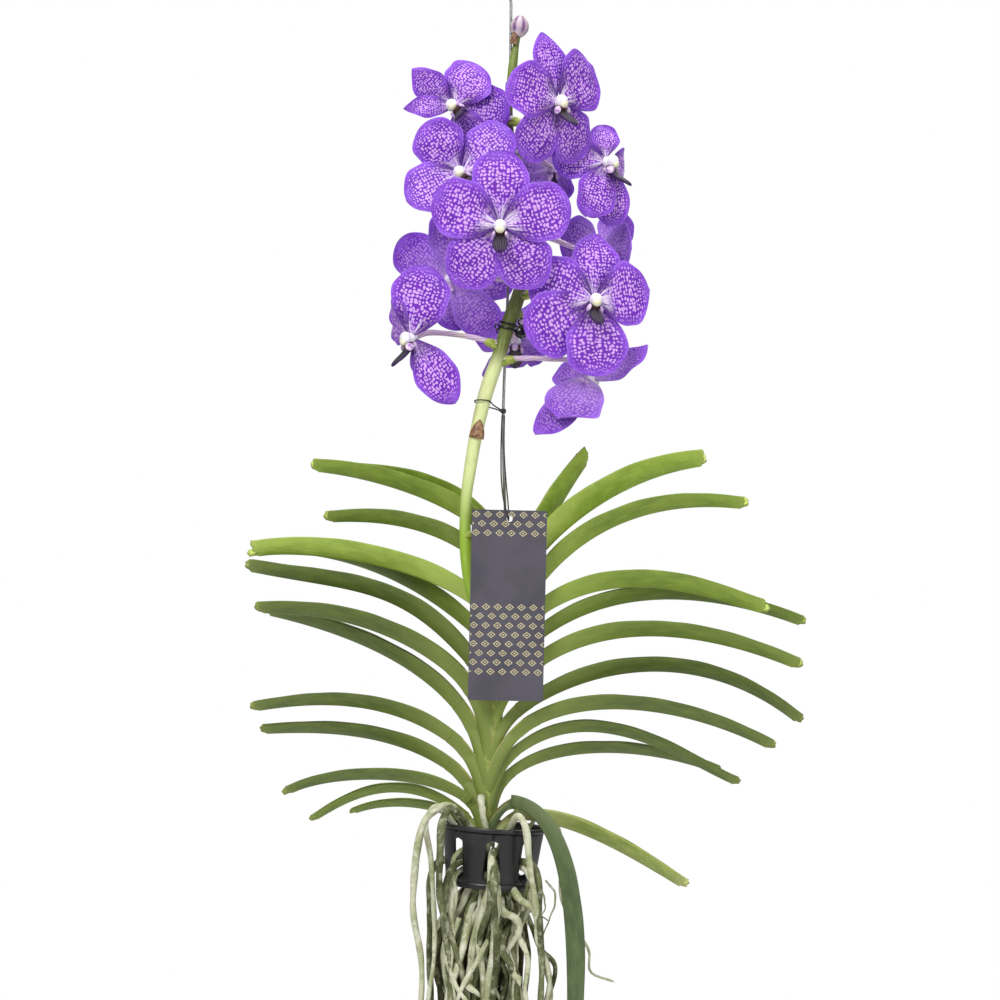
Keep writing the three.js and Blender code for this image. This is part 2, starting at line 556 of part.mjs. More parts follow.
function leafSheath(leaf) {
  const curve = leafCurve(leaf);
  const side = Math.sign(leaf.to[0] - leaf.from[0]);
  const bladeStart = leaf.bladeStart ?? LEAF.bladeStart;
  const { along, up, front } = leafFrame(curve, bladeStart, side);
  const end = curve.getPointAt(bladeStart).addScaledVector(along, -GAP);
  const start = stemPoint(leaf.from[2] - STEM.sheathLength);
  const middle = end.clone().addScaledVector(along, -0.5 * start.distanceTo(end));
  const path = new THREE.QuadraticBezierCurve3(start, middle, end);
  const reach = bladeHalf(bladeStart, leaf.half);
  const fold = rad(bladeFold(bladeStart));
  const rings = [0, 1].map((t) => {
    const centre = path.getPoint(t);
    const wide = mix(STEM.sheathHalf, reach * Math.cos(fold) + 0.6, t);
    const tall = mix(STEM.sheathHalf, reach * Math.sin(fold), t);
    const keel = mix(-3, 0, t);
    const corner = (across, lift) => centre.clone().addScaledVector(front, across).addScaledVector(up, lift);
    return [corner(0, keel), corner(wide, tall), corner(-wide, tall)];
  });
  return skin(rings);
}

function stem() {
  const core = bar(STEM_AXIS.map(point), (t) => mix(STEM.lowRadius, STEM.highRadius, t), STEM.sides, STEM.steps);
  return fuse([core, ...LEAVES.map(leafSheath)]);
}

// ---------------------------------------------------------------------------------------------
// Flowers

// A flower's own directions: the way its face looks, its up and its right as seen from the face.
function bloomFrame({ yaw, pitch, roll }) {
  const face = FRONT.clone().applyAxisAngle(new THREE.Vector3(-1, 0, 0), rad(pitch)).applyAxisAngle(UP, rad(yaw));
  const level = UP.clone().addScaledVector(face, -face.z).normalize();
  const across = level.clone().cross(face);
  const up = level.clone().multiplyScalar(Math.cos(rad(roll))).addScaledVector(across, Math.sin(rad(roll)));
  const right = across.clone().multiplyScalar(Math.cos(rad(roll))).addScaledVector(level, -Math.sin(rad(roll)));
  return { face, up, right };
}

// Half width along a tepal: a narrow claw, widest past the middle and a blunt end.
function tepalHalf(s, claw) {
  const swell = Math.sin(0.5 * Math.PI * Math.min(1, s / 0.56)) ** claw;
  const close = Math.sqrt(1 - 0.84 * smooth(Math.max(0, (s - 0.6) / 0.4)));
  return mix(BLOOM.claw, 1, swell) * close;
}

function tepal(centre, tip, facing, width, { lift, claw }, phase) {
  const along = tip.clone().sub(centre);
  const reach = along.length();
  along.divideScalar(reach);
  const face = facing.clone().addScaledVector(along, -facing.dot(along)).normalize();
  const across = along.clone().cross(face);
  const outer = [];
  const inner = [];
  for (const s of BLOOM.stations) {
    const half = 0.5 * width * tepalHalf(s, claw);
    const arch = lift + 3.2 * Math.sin(Math.PI * s);
    const row = [-1, 0, 1].map((j) => {
      const wave = 1.1 * Math.sin(phase + 5 * s + 2 * j) * s;
      const back = j === 0 ? 0.9 * s : 1.5 * s;
      return centre.clone()
        .addScaledVector(along, mix(2.4, reach, s) - (s === 1 ? 2.5 * Math.abs(j) : 0))
        .addScaledVector(across, half * j)
        .addScaledVector(face, arch - back + wave * Math.abs(j));
    });
    outer.push(row);
    inner.push(row.map((p) => p.clone().addScaledVector(face, -BLOOM.thickness)));
  }
  return sheet(outer, inner);
}

// The short column, on the seat where the stalk joins.
function bloomColumn(centre, { face, up }) {
  const station = (forward, rise) => centre.clone().addScaledVector(face, forward).addScaledVector(up, rise);
  const radii = [2.2, 4.2, 3.4, 2.8];
  return bar([station(-BLOOM.seat, 0), station(0, 0), station(5, -0.5), station(9, -1.6)],
    (t) => radii[Math.round(3 * t)], 5);
}

// The lip and its spur: a flattened tongue from the spur behind to the tip in front.
function bloomLip(centre, { face, up, right }) {
  const stations = [
    [-6, -8.5, 1, 1], [-1, -5, 2.4, 2.6], [4, -6.5, 5.6, 2.8], [9, -10.5, 3.6, 1.6], [15, -12.6, 4.4, 1.3], [20, -14.5, 2.4, 0.9],
  ];
  const rings = stations.map(([forward, rise, wide, thick]) => [[1, 0], [0, 1], [-1, 0], [0, -1]]
    .map(([i, j]) => centre.clone()
      .addScaledVector(face, forward)
      .addScaledVector(up, rise + j * thick)
      .addScaledVector(right, i * wide)));
  return skin(rings);
}

function bloom(flower) {
  const centre = point(flower.at);
  const frame = bloomFrame(flower);
  const { face, up, right } = frame;
  const tepals = Object.entries(TEPALS).map(([key, usual], index) => {
    const own = flower.tepals?.[key] ?? {};
    const width = own.width ?? usual.width * flower.size;
    const lean = rad(usual.lean);
    const reach = usual.reach * flower.size;
    const tip = own.tip
      ? centre.clone().add(point(own.tip))
      : centre.clone()
        .addScaledVector(up, reach * Math.cos(lean) * Math.cos(rad(usual.angle)))
        .addScaledVector(right, reach * Math.cos(lean) * Math.sin(rad(usual.angle)))
        .addScaledVector(face, -reach * Math.sin(lean));
    const facing = own.facing ? point(own.facing) : face;
    return tepal(centre, tip, facing, width, { ...usual, ...own }, index * 1.3);
  });
  return fuse([...tepals, bloomColumn(centre, frame), bloomLip(centre, frame)]);
}

// ---------------------------------------------------------------------------------------------
// Flower stem with the flowers' stalks, the small bracts under them and the last bud.

const spikeCurve = new THREE.CatmullRomCurve3(SPIKE_ROUTE.map(point), false, 'centripetal');

function spikeRadius(t) {
  const place = spikeCurve.getUtoTmapping(t) * (SPIKE_ROUTE.length - 1);
  const k = Math.min(Math.floor(place), SPIKE_ROUTE.length - 2);
  return mix(SPIKE_ROUTE[k][3], SPIKE_ROUTE[k + 1][3], place - k);
}

function spikePoint(height) {
  const k = SPIKE_ROUTE.findIndex((station) => station[2] > height);
  const [low, high] = [SPIKE_ROUTE[k - 1], SPIKE_ROUTE[k]];
  return point(low).lerp(point(high), (height - low[2]) / (high[2] - low[2]));
}

function pedicel(flower) {
  const { face } = bloomFrame(flower);
  const start = spikePoint(PEDICEL_HEIGHTS[flower.name]);
  const end = point(flower.at).addScaledVector(face, -BLOOM.seat - GAP);
  const before = end.clone().addScaledVector(face, -9);
  const bend = PEDICEL_BENDS[flower.name];
  const level = bend ? point(bend) : start.clone().lerp(before, 0.45).setZ(mix(start.z, before.z, 0.45) + 2);
  const radiusAt = (t) => (t < 0.25 ? SPIKE.bractRadius : mix(SPIKE.pedicelRadius, SPIKE.pedicelRadius + 0.3, t));
  return bar([start, level, before, end], radiusAt, SPIKE.pedicelSides, SPIKE.pedicelSteps);
}

function flowerSpike() {
  const main = bar(SPIKE_ROUTE.map(point), spikeRadius, SPIKE.sides, SPIKE.steps);
  const budShape = (t) => BUD.radius * Math.sqrt(Math.max(0.04, Math.sin(Math.PI * mix(0.06, 0.97, t))));
  const bud = bar([point(BUD.from), point(BUD.to)], budShape, BUD.sides, 5);
  return fuse([main, bud, ...BLOOMS.map(pedicel)]);
}

// ---------------------------------------------------------------------------------------------
// Roots

function root(radius, route, sides = ROOT.sides) {
  const radiusAt = (t) => radius * mix(1, ROOT.tip, smooth(t));
  return bar(route.map(point), radiusAt, sides);
}

function tangle() {
  const next = randomStream(TANGLE.seed);
  const strands = [];
  for (let k = 0; k < TANGLE.count; k++) {
    const turn = (2 * Math.PI * (k + 0.6 * next())) / TANGLE.count;
    const long = mix(TANGLE.shortest, TANGLE.longest, next());
    const out = TANGLE.spread * mix(0.35, 1, next());
    const station = (distance, height, loose) => [
      mix(POT.centre[0], TANGLE.axis[0], loose) + Math.cos(turn) * distance + 9 * loose * (next() - 0.5),
      Math.sin(turn) * distance + 9 * loose * (next() - 0.5),
      height,
    ];
    strands.push(root(TANGLE.radius * mix(0.7, 1.1, next()), [
      station(TANGLE.topOut, TANGLE.top, 0), station(TANGLE.floorOut, TANGLE.floor, 0),
      station(out, TANGLE.floor - 0.3 * long, 1), station(out, TANGLE.floor - 0.6 * long, 1),
      station(0.8 * out, TANGLE.floor - long, 1),
    ], TANGLE.sides));
  }
  return strands;
}

function slotRoots() {
  const { turns, radius, route } = SLOT_ROOTS;
  return turns.map((turn) => root(radius, route.map(([out, height]) => [
    POT.centre[0] + out * Math.cos(rad(turn)), out * Math.sin(rad(turn)), height - 0.25 * (turn - 135) * (height < -700),
  ])));
}

function roots() {
  const crown = bar(ROOT_CROWN.map(point), () => ROOT_CROWN_RADIUS, 8);
  return fuse([crown, ...ROOTS.map(({ radius, route }) => root(radius, route)), ...slotRoots(), ...tangle()]);
}

// ---------------------------------------------------------------------------------------------
// Clip, tie, tag and cord

function ring(inner, outer, height, sides) {
  const profile = [[inner, -height / 2], [outer, -height / 2], [outer, height / 2], [inner, height / 2], [inner, -height / 2]];
  return new THREE.LatheGeometry(profile.map(([r, z]) => new THREE.Vector2(r, z)), sides);
}

function clip() {
  const { ringRadius, band, height, discRadius, at, discAt } = CLIP;
  const lean = new THREE.Quaternion().setFromUnitVectors(new THREE.Vector3(0, 1, 0), new THREE.Vector3(0.29, 0.02, 0.96).normalize());
  const around = ring(ringRadius, ringRadius + band, height, 12).applyQuaternion(lean).translate(...at);
  const onWire = ring(1.6, 3.2, height, 8).rotateX(Math.PI / 2).translate(-3.2, 0, -278);
  const disc = new THREE.CylinderGeometry(discRadius, discRadius, 3, 12).translate(...discAt);
  const loop = ring(1.8, 3, 2, 8).translate(discAt[0] + 0.6, discAt[1], discAt[2] + 7);
  return fuse([around, onWire, disc, loop]);
}

function tag() {
  const { width, height, thickness, holeRadius, holeDrop } = TAG;
  const outline = new THREE.Shape([
    new THREE.Vector2(-width / 2, -height), new THREE.Vector2(width / 2, -height),
    new THREE.Vector2(width / 2, 0), new THREE.Vector2(-width / 2, 0),
  ]);
  outline.holes.push(new THREE.Path().absarc(0, -holeDrop, holeRadius, 0, 2 * Math.PI, true));
  const card = new THREE.ExtrudeGeometry(outline, { depth: thickness, bevelEnabled: false, curveSegments: 8 });
  return card.rotateX(Math.PI / 2);
}

// ---------------------------------------------------------------------------------------------
// Assembly

place('wire_hook', wireHook(), STEEL);
place('hanger_wire', hangerWire(), STEEL);

const potMesh = place('pot', potBody(), BLACK_PLASTIC);
potMesh.position.set(...POT.centre);
potMesh.rotation.y = rad(POT.tilt);

place('stem', stem(), STEM_GREEN);
for (const leaf of LEAVES) place(leaf.name, leafBlade(leaf), LEAF_GREEN);
place('flower_spike', flowerSpike(), SPIKE_GREEN);
for (const flower of BLOOMS) place(flower.name, bloom(flower), VIOLET);
place('roots', roots(), ROOT_SILVER);
place('orchid_clip', clip(), BLACK_PLASTIC);
place('cord_tie', fuse([
  bar(TIE_ROUTE.map(point), () => CORD.radius, 6, 15),
  new THREE.IcosahedronGeometry(KNOT.radius, 1).translate(...KNOT.at),
]), CORD_BLACK);
place('tag_cord', bar(CORD_ROUTE.map(point), () => CORD.radius, CORD.sides, CORD.steps), CORD_BLACK);

const tagMesh = place('tag', tag(), CARD);
tagMesh.position.set(...TAG.top);
tagMesh.rotation.y = rad(TAG.lean);

export default plant;
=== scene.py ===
"""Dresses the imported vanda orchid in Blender. Shapes are worked out in millimetres in the row frame."""

import math
from functools import cached_property

import bpy
import numpy as np
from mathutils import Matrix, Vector


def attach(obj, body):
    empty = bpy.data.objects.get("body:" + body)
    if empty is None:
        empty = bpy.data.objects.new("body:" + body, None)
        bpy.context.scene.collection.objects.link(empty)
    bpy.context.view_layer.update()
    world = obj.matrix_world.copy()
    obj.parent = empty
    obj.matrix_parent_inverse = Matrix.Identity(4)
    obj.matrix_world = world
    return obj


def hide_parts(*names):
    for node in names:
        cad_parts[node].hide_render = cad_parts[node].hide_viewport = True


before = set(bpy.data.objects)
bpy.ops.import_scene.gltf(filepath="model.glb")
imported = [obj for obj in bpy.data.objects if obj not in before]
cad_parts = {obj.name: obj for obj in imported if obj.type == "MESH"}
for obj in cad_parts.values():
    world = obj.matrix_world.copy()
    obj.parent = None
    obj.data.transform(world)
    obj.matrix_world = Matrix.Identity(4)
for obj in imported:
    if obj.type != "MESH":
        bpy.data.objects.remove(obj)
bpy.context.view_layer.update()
MM = 0.001

# Routes and sizes in millimetres, and colours

STEM_AXIS = [[-18, 0, -640], [-16, 0, -582], [-10, 0, -533], [-3.5, 0, -484], [3, 0, -441], [4, 0, -430]]

# name, from, launch, rise, to, arrive, ease, half width, roll, blade start and spread in depth
LEAVES = [
    ("left_01", (-14.7, -1, -428), 43, 0.38, (-141, 4, -380), 3, 0.16, 17, 0, 0.05, 0.3),
    ("left_02", (-12, 11, -427), 47, 0.41, (-117, 28, -381.5), 9, 0.44, 15, 6, 0.05, 0.3),
    ("left_03", (-14.7, -1, -451), 44, 0.33, (-130, -6, -416), -4, 0.41, 15, 0, 0.05, 0.3),
    ("left_04", (-14.7, -2, -485), 48, 0.35, (-181, -14, -441), -28, 0.1, 17, 17, 0.05, 0.3),
    ("left_05", (-15, 5, -506), 46, 0.29, (-168, 26, -437), 1, 0.4, 15, 0, 0.05, 0.3),
    ("left_06", (-17.5, 0, -532), 53, 0.5, (-186.5, -14, -449), 12, 0.45, 16, 4, 0.09, 0.3),
    ("left_07", (-19, 0, -551), 60, 0.26, (-177.5, -18, -479), -2, 0.44, 15, 0, 0.19, 0.3),
    ("left_08", (-23.5, 0, -574.5), 68, 0.3, (-174.5, 12, -480.5), 12, 0.41, 14, 0, 0.15, 0.3),
    ("left_09", (-22, 0, -590), 48, 0.42, (-181, -10, -548), -10, 0.32, 13, 4, 0.15, 0.3),
    ("left_10", (-24, 0, -608), 49, 0.42, (-177, 14, -565), -3, 0.2, 12.5, 0, 0.15, 0.3),
    ("left_11", (-27, -4, -617), 50, 0.29, (-157, -14, -607), -37, 0.2, 11, 4, 0.05, 0.3),
    ("left_12", (-29, 4, -627), 40, 0.6, (-140, 8, -627), -30, 0.2, 9, 0, 0.05, 0.3),
    ("left_13", (-28, 11, -632.5), 41, 0.33, (-114, 30, -624), -27, 0.27, 8, 0, 0.05, 0.3),
    ("right_01", (15, 12, -446), 73, 0.24, (57.5, 27, -371), 42, 0.1, 19, 0, 0.09, 0.3),
    ("right_02", (14.7, -1, -448), 55, 0.27, (139, 10, -376), 6, 0.38, 21, 4, 0.05, 0.3),
    ("right_03", (13, 0, -472), 58, 0.36, (165, -8, -407), -8, 0.4, 16, 0, 0.05, 0.3),
    ("right_04", (9, 0, -491), 42, 0.5, (179, -12, -480), -10, 0.16, 16, 12, 0.08, 0.3),
    ("right_05", (7, 2, -510), 44, 0.33, (207, 14, -490), -21, 0.44, 14, 0, 0.05, 0.3),
    ("right_06", (6, 0, -529), 43, 0.35, (201, -12, -519), -23, 0.39, 15, 3, 0.08, 0.3),
    ("right_07", (1, 0, -555), 38, 0.32, (203, 10, -559), -40, 0.44, 14, 0, 0.05, 0.3),
    ("right_08", (-5, -2, -576), 50, 0.3, (182, -14, -575), -28, 0.4, 13.5, 3, 0.13, 0.3),
    ("right_09", (-5, 4, -588), 45, 0.5, (161, 16, -602), -18, 0.2, 11, 0, 0.05, 0.3),
    ("right_10", (-6, 8, -603), 55, 0.22, (148, 32, -595), -22, 0.43, 11, 0, 0.05, 0.3),
    ("right_11", (-3, 2, -624), 3, 0.3, (121, -20, -671), -31, 0.4, 13, 0, 0.05, 0.3),
    ("right_12", (-6, -9, -614), 6, 0.3, (39, -40, -773), -88, 0.3, 14, 40, 0.05, 0.95),
]

LEAF_AGES = ("fresh", "young", "grown", "old", "shaded", "yellow")
AGE = {name: age for age, names in {
    "fresh": ("right_01", "right_02", "left_04"),
    "young": ("left_01", "left_02", "right_04", "right_03"),
    "grown": ("left_03", "left_05", "right_05", "right_06", "left_12", "left_13"),
    "old": ("left_06", "left_07", "left_08", "left_09", "left_10", "left_11",
            "right_07", "right_08", "right_09", "right_10"),
    "shaded": ("right_12",),
    "yellow": ("right_11",),
}.items() for name in names}

# colour, its deep parts and its young parts, for the outer face and then for the inner face of the blades;
# the inner faces are lighter, partly as painted light from above and partly because the outer faces are
# duller
LEAF_COLOURS = {
    "fresh": (((170, 195, 84), (141, 167, 63), (198, 215, 110)),
              ((182, 206, 90), (154, 180, 69), (205, 221, 113))),
    "young": (((138, 162, 60), (112, 136, 48), (180, 202, 90)),
              ((172, 198, 78), (146, 172, 62), (200, 218, 102))),
    "grown": (((120, 140, 56), (98, 118, 46), (158, 176, 80)),
              ((154, 176, 72), (128, 150, 56), (182, 200, 92))),
    "old": (((104, 120, 52), (80, 97, 42), (142, 157, 74)),
              ((126, 146, 60), (100, 120, 48), (154, 171, 82))),
    "shaded": (((92, 110, 68), (70, 86, 54), (118, 134, 86)),
              ((100, 120, 72), (78, 96, 58), (124, 142, 90))),
    "yellow": (((158, 172, 88), (128, 146, 64), (204, 208, 144)),
              ((172, 184, 96), (142, 158, 72), (214, 216, 156))),
}
BLADE_ROWS, BLADE_COLUMNS, TEPAL_ROWS, TEPAL_COLUMNS = 84, 29, 38, 25
TIP_LONG = 11  # how much of a blade's end is bitten
CORE_LOW, CORE_HIGH = 5.6, 3.9  # radius of the stem's core at its foot and at its top
SHEATH_DROP = 30  # how far a sheath's foot is below the start of its blade's keel
SHEATH_WRAP = 116  # degrees that each half of a sheath goes round the stem

SPIKE_ROUTE = [
    [-15, -12.5, -502, 4.2], [-22.4, -15, -477, 4.6], [-28.6, -16, -456, 4.6], [-31.3, -16, -435, 4.2],
    [-32, -15, -414, 3.9], [-31.4, -15, -400, 3.9], [-28.6, -14, -379, 4.1], [-23.7, -12, -351, 4.7],
    [-16.8, -10, -323, 4.9], [-8.4, -9.5, -299, 5], [-0.7, -9, -274, 5], [6.3, -8, -253.5, 4.6],
    [9, -8, -232.6, 4.2], [7.6, -8, -205, 3.9], [4.2, -7, -177, 3.4], [0.7, -7, -156, 3],
    [-1.4, -7, -135, 2.8], [-0.7, -6, -114, 2.6], [1.4, -6, -96, 3], [3.5, -5, -82, 2.2], [4.6, -5, -76, 2.2],
]

# angle from straight up, reach, full width, lean, lift and claw of a full flower's five tepals
TEPALS = {
    "dorsal": (0, 52, 40, 5, -1, 1.6),
    "petal_l": (-74, 50, 42, 3, 2, 0.9), "petal_r": (76, 51, 42, 3, 2, 0.9),
    "sepal_l": (-143, 52, 41, 2, -1, 1.1), "sepal_r": (146, 51, 41, 2, -1, 1.1),
}
# How far a tepal is drawn to a point, where it isn't as blunt as usual, and how deeply some are waved.
USUAL_POINT, USUAL_WAVE = 0.14, 1.0
POINTED = {
    ("01", "dorsal"): 0.75, ("01", "petal_r"): 0.4, ("02", "dorsal"): 0.9, ("02", "petal_l"): 0.9,
    ("03", "petal_l"): 0.4, ("04", "sepal_l"): 0.3, ("05", "sepal_l"): 0.5, ("05", "sepal_r"): 0.5,
    ("06", "dorsal"): 0.65, ("06", "petal_r"): 0.6, ("07", "sepal_r"): 0.5, ("07", "petal_r"): 0.3,
    ("08", "petal_l"): 0.5, ("08", "sepal_l"): 0.9, ("08", "sepal_r"): 0.6,
}
WAVED = {"06": 1.4, "07": 1.5, "08": 2.2, "01": 1.2, "02": 1.2, "03": 1.2, "04": 1.2}
# centre, yaw, pitch, roll, size, then the tepals that stand their own way: tip, width, some facing and claw
BLOOMS = {
    "01": ((31.5, -40, -126), 43, -4, -3, 0.93, {
        "dorsal": ((-9.5, -3, 48.3), 32), "petal_r": ((25, 24, 28), 47)}),
    "02": ((-39.1, -13, -126), -24, 0, -50, 0.92, {
        "dorsal": ((-30, -10, 24.5), 24), "petal_l": ((-35.7, -12, -2.5), 16),
        "petal_r": ((18, -4, 28), 38), "sepal_r": ((38, -9, -5), 36),
        "sepal_l": ((12, -2, -24), 28)}),
    "03": ((-34, -24, -174), -18, 6, -38, 0.95, {
        "dorsal": ((-26.5, -4, 35), 37), "petal_r": ((34, -2, 31), 37),
        "petal_l": ((-39, -6, -19), 38), "sepal_r": ((32, 8, -26), 32),
        "sepal_l": ((-6, 2, -38), 34)}),
    "04": ((66.4, -8, -164), 66, -4, 0, 0.9, {
        "petal_l": ((-38, 0, 4), 30, (0, -1, 0)), "dorsal": ((-1.5, 4, 27), 23, (0.4, -0.9, 0)),
        "petal_r": ((13, 30, -4), 28), "sepal_l": ((-12, -14, -39), 32, (0.4, -0.9, 0)),
        "sepal_r": ((6, 4, -45), 28, (0.4, -0.9, 0))}),
    "05": ((-7.7, -58, -212.8), 0, -10, 0, 1, {
        "petal_l": ((-45.6, -1, 20.5), 42), "petal_r": ((48, 0, 17), 42)}),
    "06": ((57, -35, -262), 18, -6, 8, 1, {
        "dorsal": ((1, 4, 47), 36), "petal_r": ((39, 8, 8), 46),
        "petal_l": ((-44, -5, 15), 44), "sepal_l": ((-45, -10, -28), 48),
        "sepal_r": ((3, -4, -53), 46)}),
    "07": ((-68.8, -20, -287), -65, -15, 0, 1, {
        "petal_r": ((13, -10, 49), 45, (-0.35, -0.93, 0)), "dorsal": ((-15, 8, 28), 30),
        "petal_l": ((-14, 26, 20), 34), "sepal_r": ((30, -12, -46), 32, (-0.35, -0.93, 0)),
        "sepal_l": ((16, 18, -42), 34)}),
    "08": ((55, -8, -315), 141, -50, 0, 1, {
        "petal_l": ((40, -6, 23.5), 26, (0.3, 0.6, -0.75), 0.5), "petal_r": ((-18, 34, 12), 34),
        "sepal_l": ((-22, -24, -31), 44, (0.2, 0.8, -0.55), 0.5),
        "sepal_r": ((-38, -12, -41), 28, (0.2, 0.85, -0.5)),
        "dorsal": ((14, 36, 20), 34)}),
    "09": ((-43, 22, -244), -160, -6, -6, 1, {
        "petal_r": ((-37, -2, 27), 36), "sepal_l": ((32, 0, -41), 34),
        "sepal_r": ((6, 0, -37), 30)}),
    "10": ((61.7, 36, -223), 120, 0, 0, 0.95, {
        "petal_l": ((22, -38, -2), 38), "dorsal": ((21, 4, 26), 28, (0.3, 0.9, 0.1))}),
    "11": ((3, 36, -286), 180, -12, 0, 1, {
        "petal_r": ((-25, 30, 14), 34), "sepal_r": ((-23, 12, -26), 20, (-0.6, 0.3, 0.7)),
        "sepal_l": ((4, 34, -16), 30), "petal_l": ((20, 34, -2), 34),
        "dorsal": ((28, 24, 20), 34)}),
    "12": ((27.7, 28, -165), 176, 0, 0, 0.9, {
        "petal_l": ((34, 2, 22), 34), "sepal_l": ((10, 16, -21), 22)}),
}
PEDICEL_HEIGHTS = {
    "01": -134, "02": -118, "03": -170, "04": -158, "05": -232, "06": -256,
    "07": -292, "08": -302, "09": -248, "10": -214, "11": -264, "12": -150,
}
PEDICEL_BENDS = {"01": (8, -13, -136), "09": (-14, -9, -245), "11": (7, 4, -274)}

# forward and up from the bloom's middle, half width and half thickness of the lip's middle lobe
LIP_ROUTE = [
    [3, -6.6, 2.6, 1.8], [6, -8, 4.2, 1.9], [9.5, -10.2, 5.2, 1.6], [13, -12, 5.4, 1.4],
    [16, -13.4, 4.6, 1.2], [18.4, -14.8, 3.2, 1], [19.7, -15.8, 1.6, 0.6],
]

# radius and route of the main strands
ROOTS = [
    (2.9, [[-16, -4, -652], [-29, -16, -632.5], [-44, -24, -612], [-58, -28, -619], [-65, -27, -642],
           [-67, -24, -680], [-62, -20, -716], [-64, -16, -770], [-60, -12, -824]]),
    (3, [[-16, -6, -650], [-31, -20, -625], [-42, -29, -613], [-48, -35, -622], [-49, -38, -650],
         [-46, -36, -684], [-38, -32, -712], [-32, -28, -738], [-34, -24, -800]]),
    (2.2, [[-16, 0, -650], [-36, -10, -630.5], [-50, -11, -613], [-58, -14, -624], [-56, -17, -650],
           [-54, -24, -684], [-55, -25, -722], [-57, -22, -756], [-54, -18, -812]]),
    (4.2, [[-14, -4, -656], [-13, -9, -672], [-12, -24, -684], [-10, -27, -706], [-15, -26, -740],
           [-20, -20, -790], [-18, -15, -850], [-24, -10, -916]]),
    (2.8, [[-16, -3, -656], [-22, -8, -674], [-29, -22, -690], [-34, -29, -712], [-45, -30, -744],
           [-44, -20, -830]]),
    (3, [[-10, -4, -656], [-6, -9, -674], [1, -22, -692], [-6, -30, -708], [3, -26, -730], [2, -18, -800],
         [8, -12, -862]]),
    (2.6, [[-12, -4, -652], [-2, -22, -630], [4, -33, -618], [9, -40, -624], [14, -38, -650],
           [18, -34, -684], [20, -28, -712], [26, -22, -740], [18, -20, -800]]),
    (2.2, [[-10, 2, -656], [0, 6, -672], [10, 4, -690], [22, -4, -714], [32, -12, -724], [24, -16, -752],
           [16, -12, -824]]),
    (1.5, [[-12, 4, -652], [8, 10, -636], [20, 14, -620], [33, 16, -630], [37, 12, -680], [46, 4, -702],
           [54, 0, -716], [55, -2, -730], [71, -4, -737]]),
]
# Pale roots in front: one down the stem, one bent over the rim, and some that curl out below the pot.
FRONT_ROOTS = [
    (2.6, [[-21, -7, -606], [-20.5, -10, -612], [-18.5, -12, -622], [-17, -12, -634], [-15, -14, -646]]),
    (2.6, [[-29, -14, -634], [-23, -17, -631.5], [-16, -18, -634], [-12, -14, -642]]),
    (3.2, [[-10, -24, -662], [-10, -34, -674], [-10.5, -35, -694], [-12, -33, -712], [-18, -31, -746],
           [-16, -30, -780]]),
    (3.1, [[-8, -24, -676], [-5, -33, -685], [0, -35, -687], [6, -34, -694], [3, -32, -703],
           [-3, -30, -712]]),
    (2.8, [[0, -22, -668], [6, -31, -676], [16, -32, -683], [20, -32, -708], [26, -28, -729],
           [24, -24, -750]]),
    (2.4, [[-1, -20, -672], [5, -30, -700], [12, -32, -716], [9, -32, -738], [16, -30, -764]]),
    (2.2, [[-36, -22, -690], [-44, -30, -712], [-38, -33, -736], [-24, -34, -752], [-12, -32, -744]]),
    (1.9, [[-14, -30, -700], [-26, -35, -722], [-36, -33, -744], [-33, -31, -768], [-24, -29, -792]]),
    (0.8, [[14, -24, -662], [21, -26, -670], [24, -26, -680], [21, -26, -688]]),
    (0.8, [[24, -20, -664], [30, -22, -672], [28, -22, -688], [22, -22, -702]]),
    (2.6, [[-30, -31, -736], [-25, -35, -739], [-21, -35, -743]]),
    (2.6, [[2, -31, -728], [5.5, -35, -731], [6.5, -36, -735]]),
]
SLOT_TURNS = (135, 180, 225, 270, 315)
SLOT_ROUTE = [[8, -656], [24, -651], [39, -654], [46, -668], [45, -704], [41, -764], [33, -828]]
CORE_STRANDS, OUTER_STRANDS, SLOT_STRANDS, ROOTLETS, ROOT_SEED = 34, 24, 9, 56, 11
# how loosely the tangle's strands wave, then their number, seed, spread, shortest, longest and radius
TANGLES = [(1.2, (15, 5, 33, 80, 220, 2.9)), (1.8, (30, 29, 31, 60, 215, 1.9))]

# name, damp, dry, lime, bruise and how much is bruised
ROOT_TONES = [
    ("velamen_pale", (158, 164, 118), (212, 213, 184), (240, 239, 226), (120, 110, 70), 0.42),
    ("velamen_green", (68, 76, 42), (112, 118, 80), (204, 202, 178), (52, 46, 26), 0.42),
    # the dark tone is partly real dark root and partly painted shade for the inside of the mass
    ("velamen_dark_and_shade", (44, 44, 24), (76, 77, 46), (158, 156, 122), (28, 24, 14), 0.5),
]
ROOT_FLOOR = -915  # the tips of the longest roots

# The middle of the pot's rim, how far the pot leans and its profiles of radius and height from there.
POT_CENTRE, POT_LEAN = (-12, 0, -627), 4
POT_RIM = [
    [33.9, -0.2], [34.2, 0], [37.3, 0], [37.7, -0.3], [37.7, -2.7], [37.4, -3], [35.6, -3], [35.2, -3.6],
    [33.6, -3.4],
]
POT_FLOOR = [
    [25, -42.8], [25.3, -43], [30.6, -43], [31.1, -42.4], [31.4, -38.2], [29.7, -38.2], [29.2, -41.2],
    [25.2, -41.2],
]
PANELS, WALL_TOP, WALL_FOOT, WALL_THICK = 8, -3.2, -38.6, 1.7
WALL_TOP_RADIUS, WALL_FOOT_RADIUS = 35.4, 31.4
SLOT_TOP, SLOT_FOOT, HALF_SLOT, SLOT_CORNER = -9, -36, 4.5, 2.2

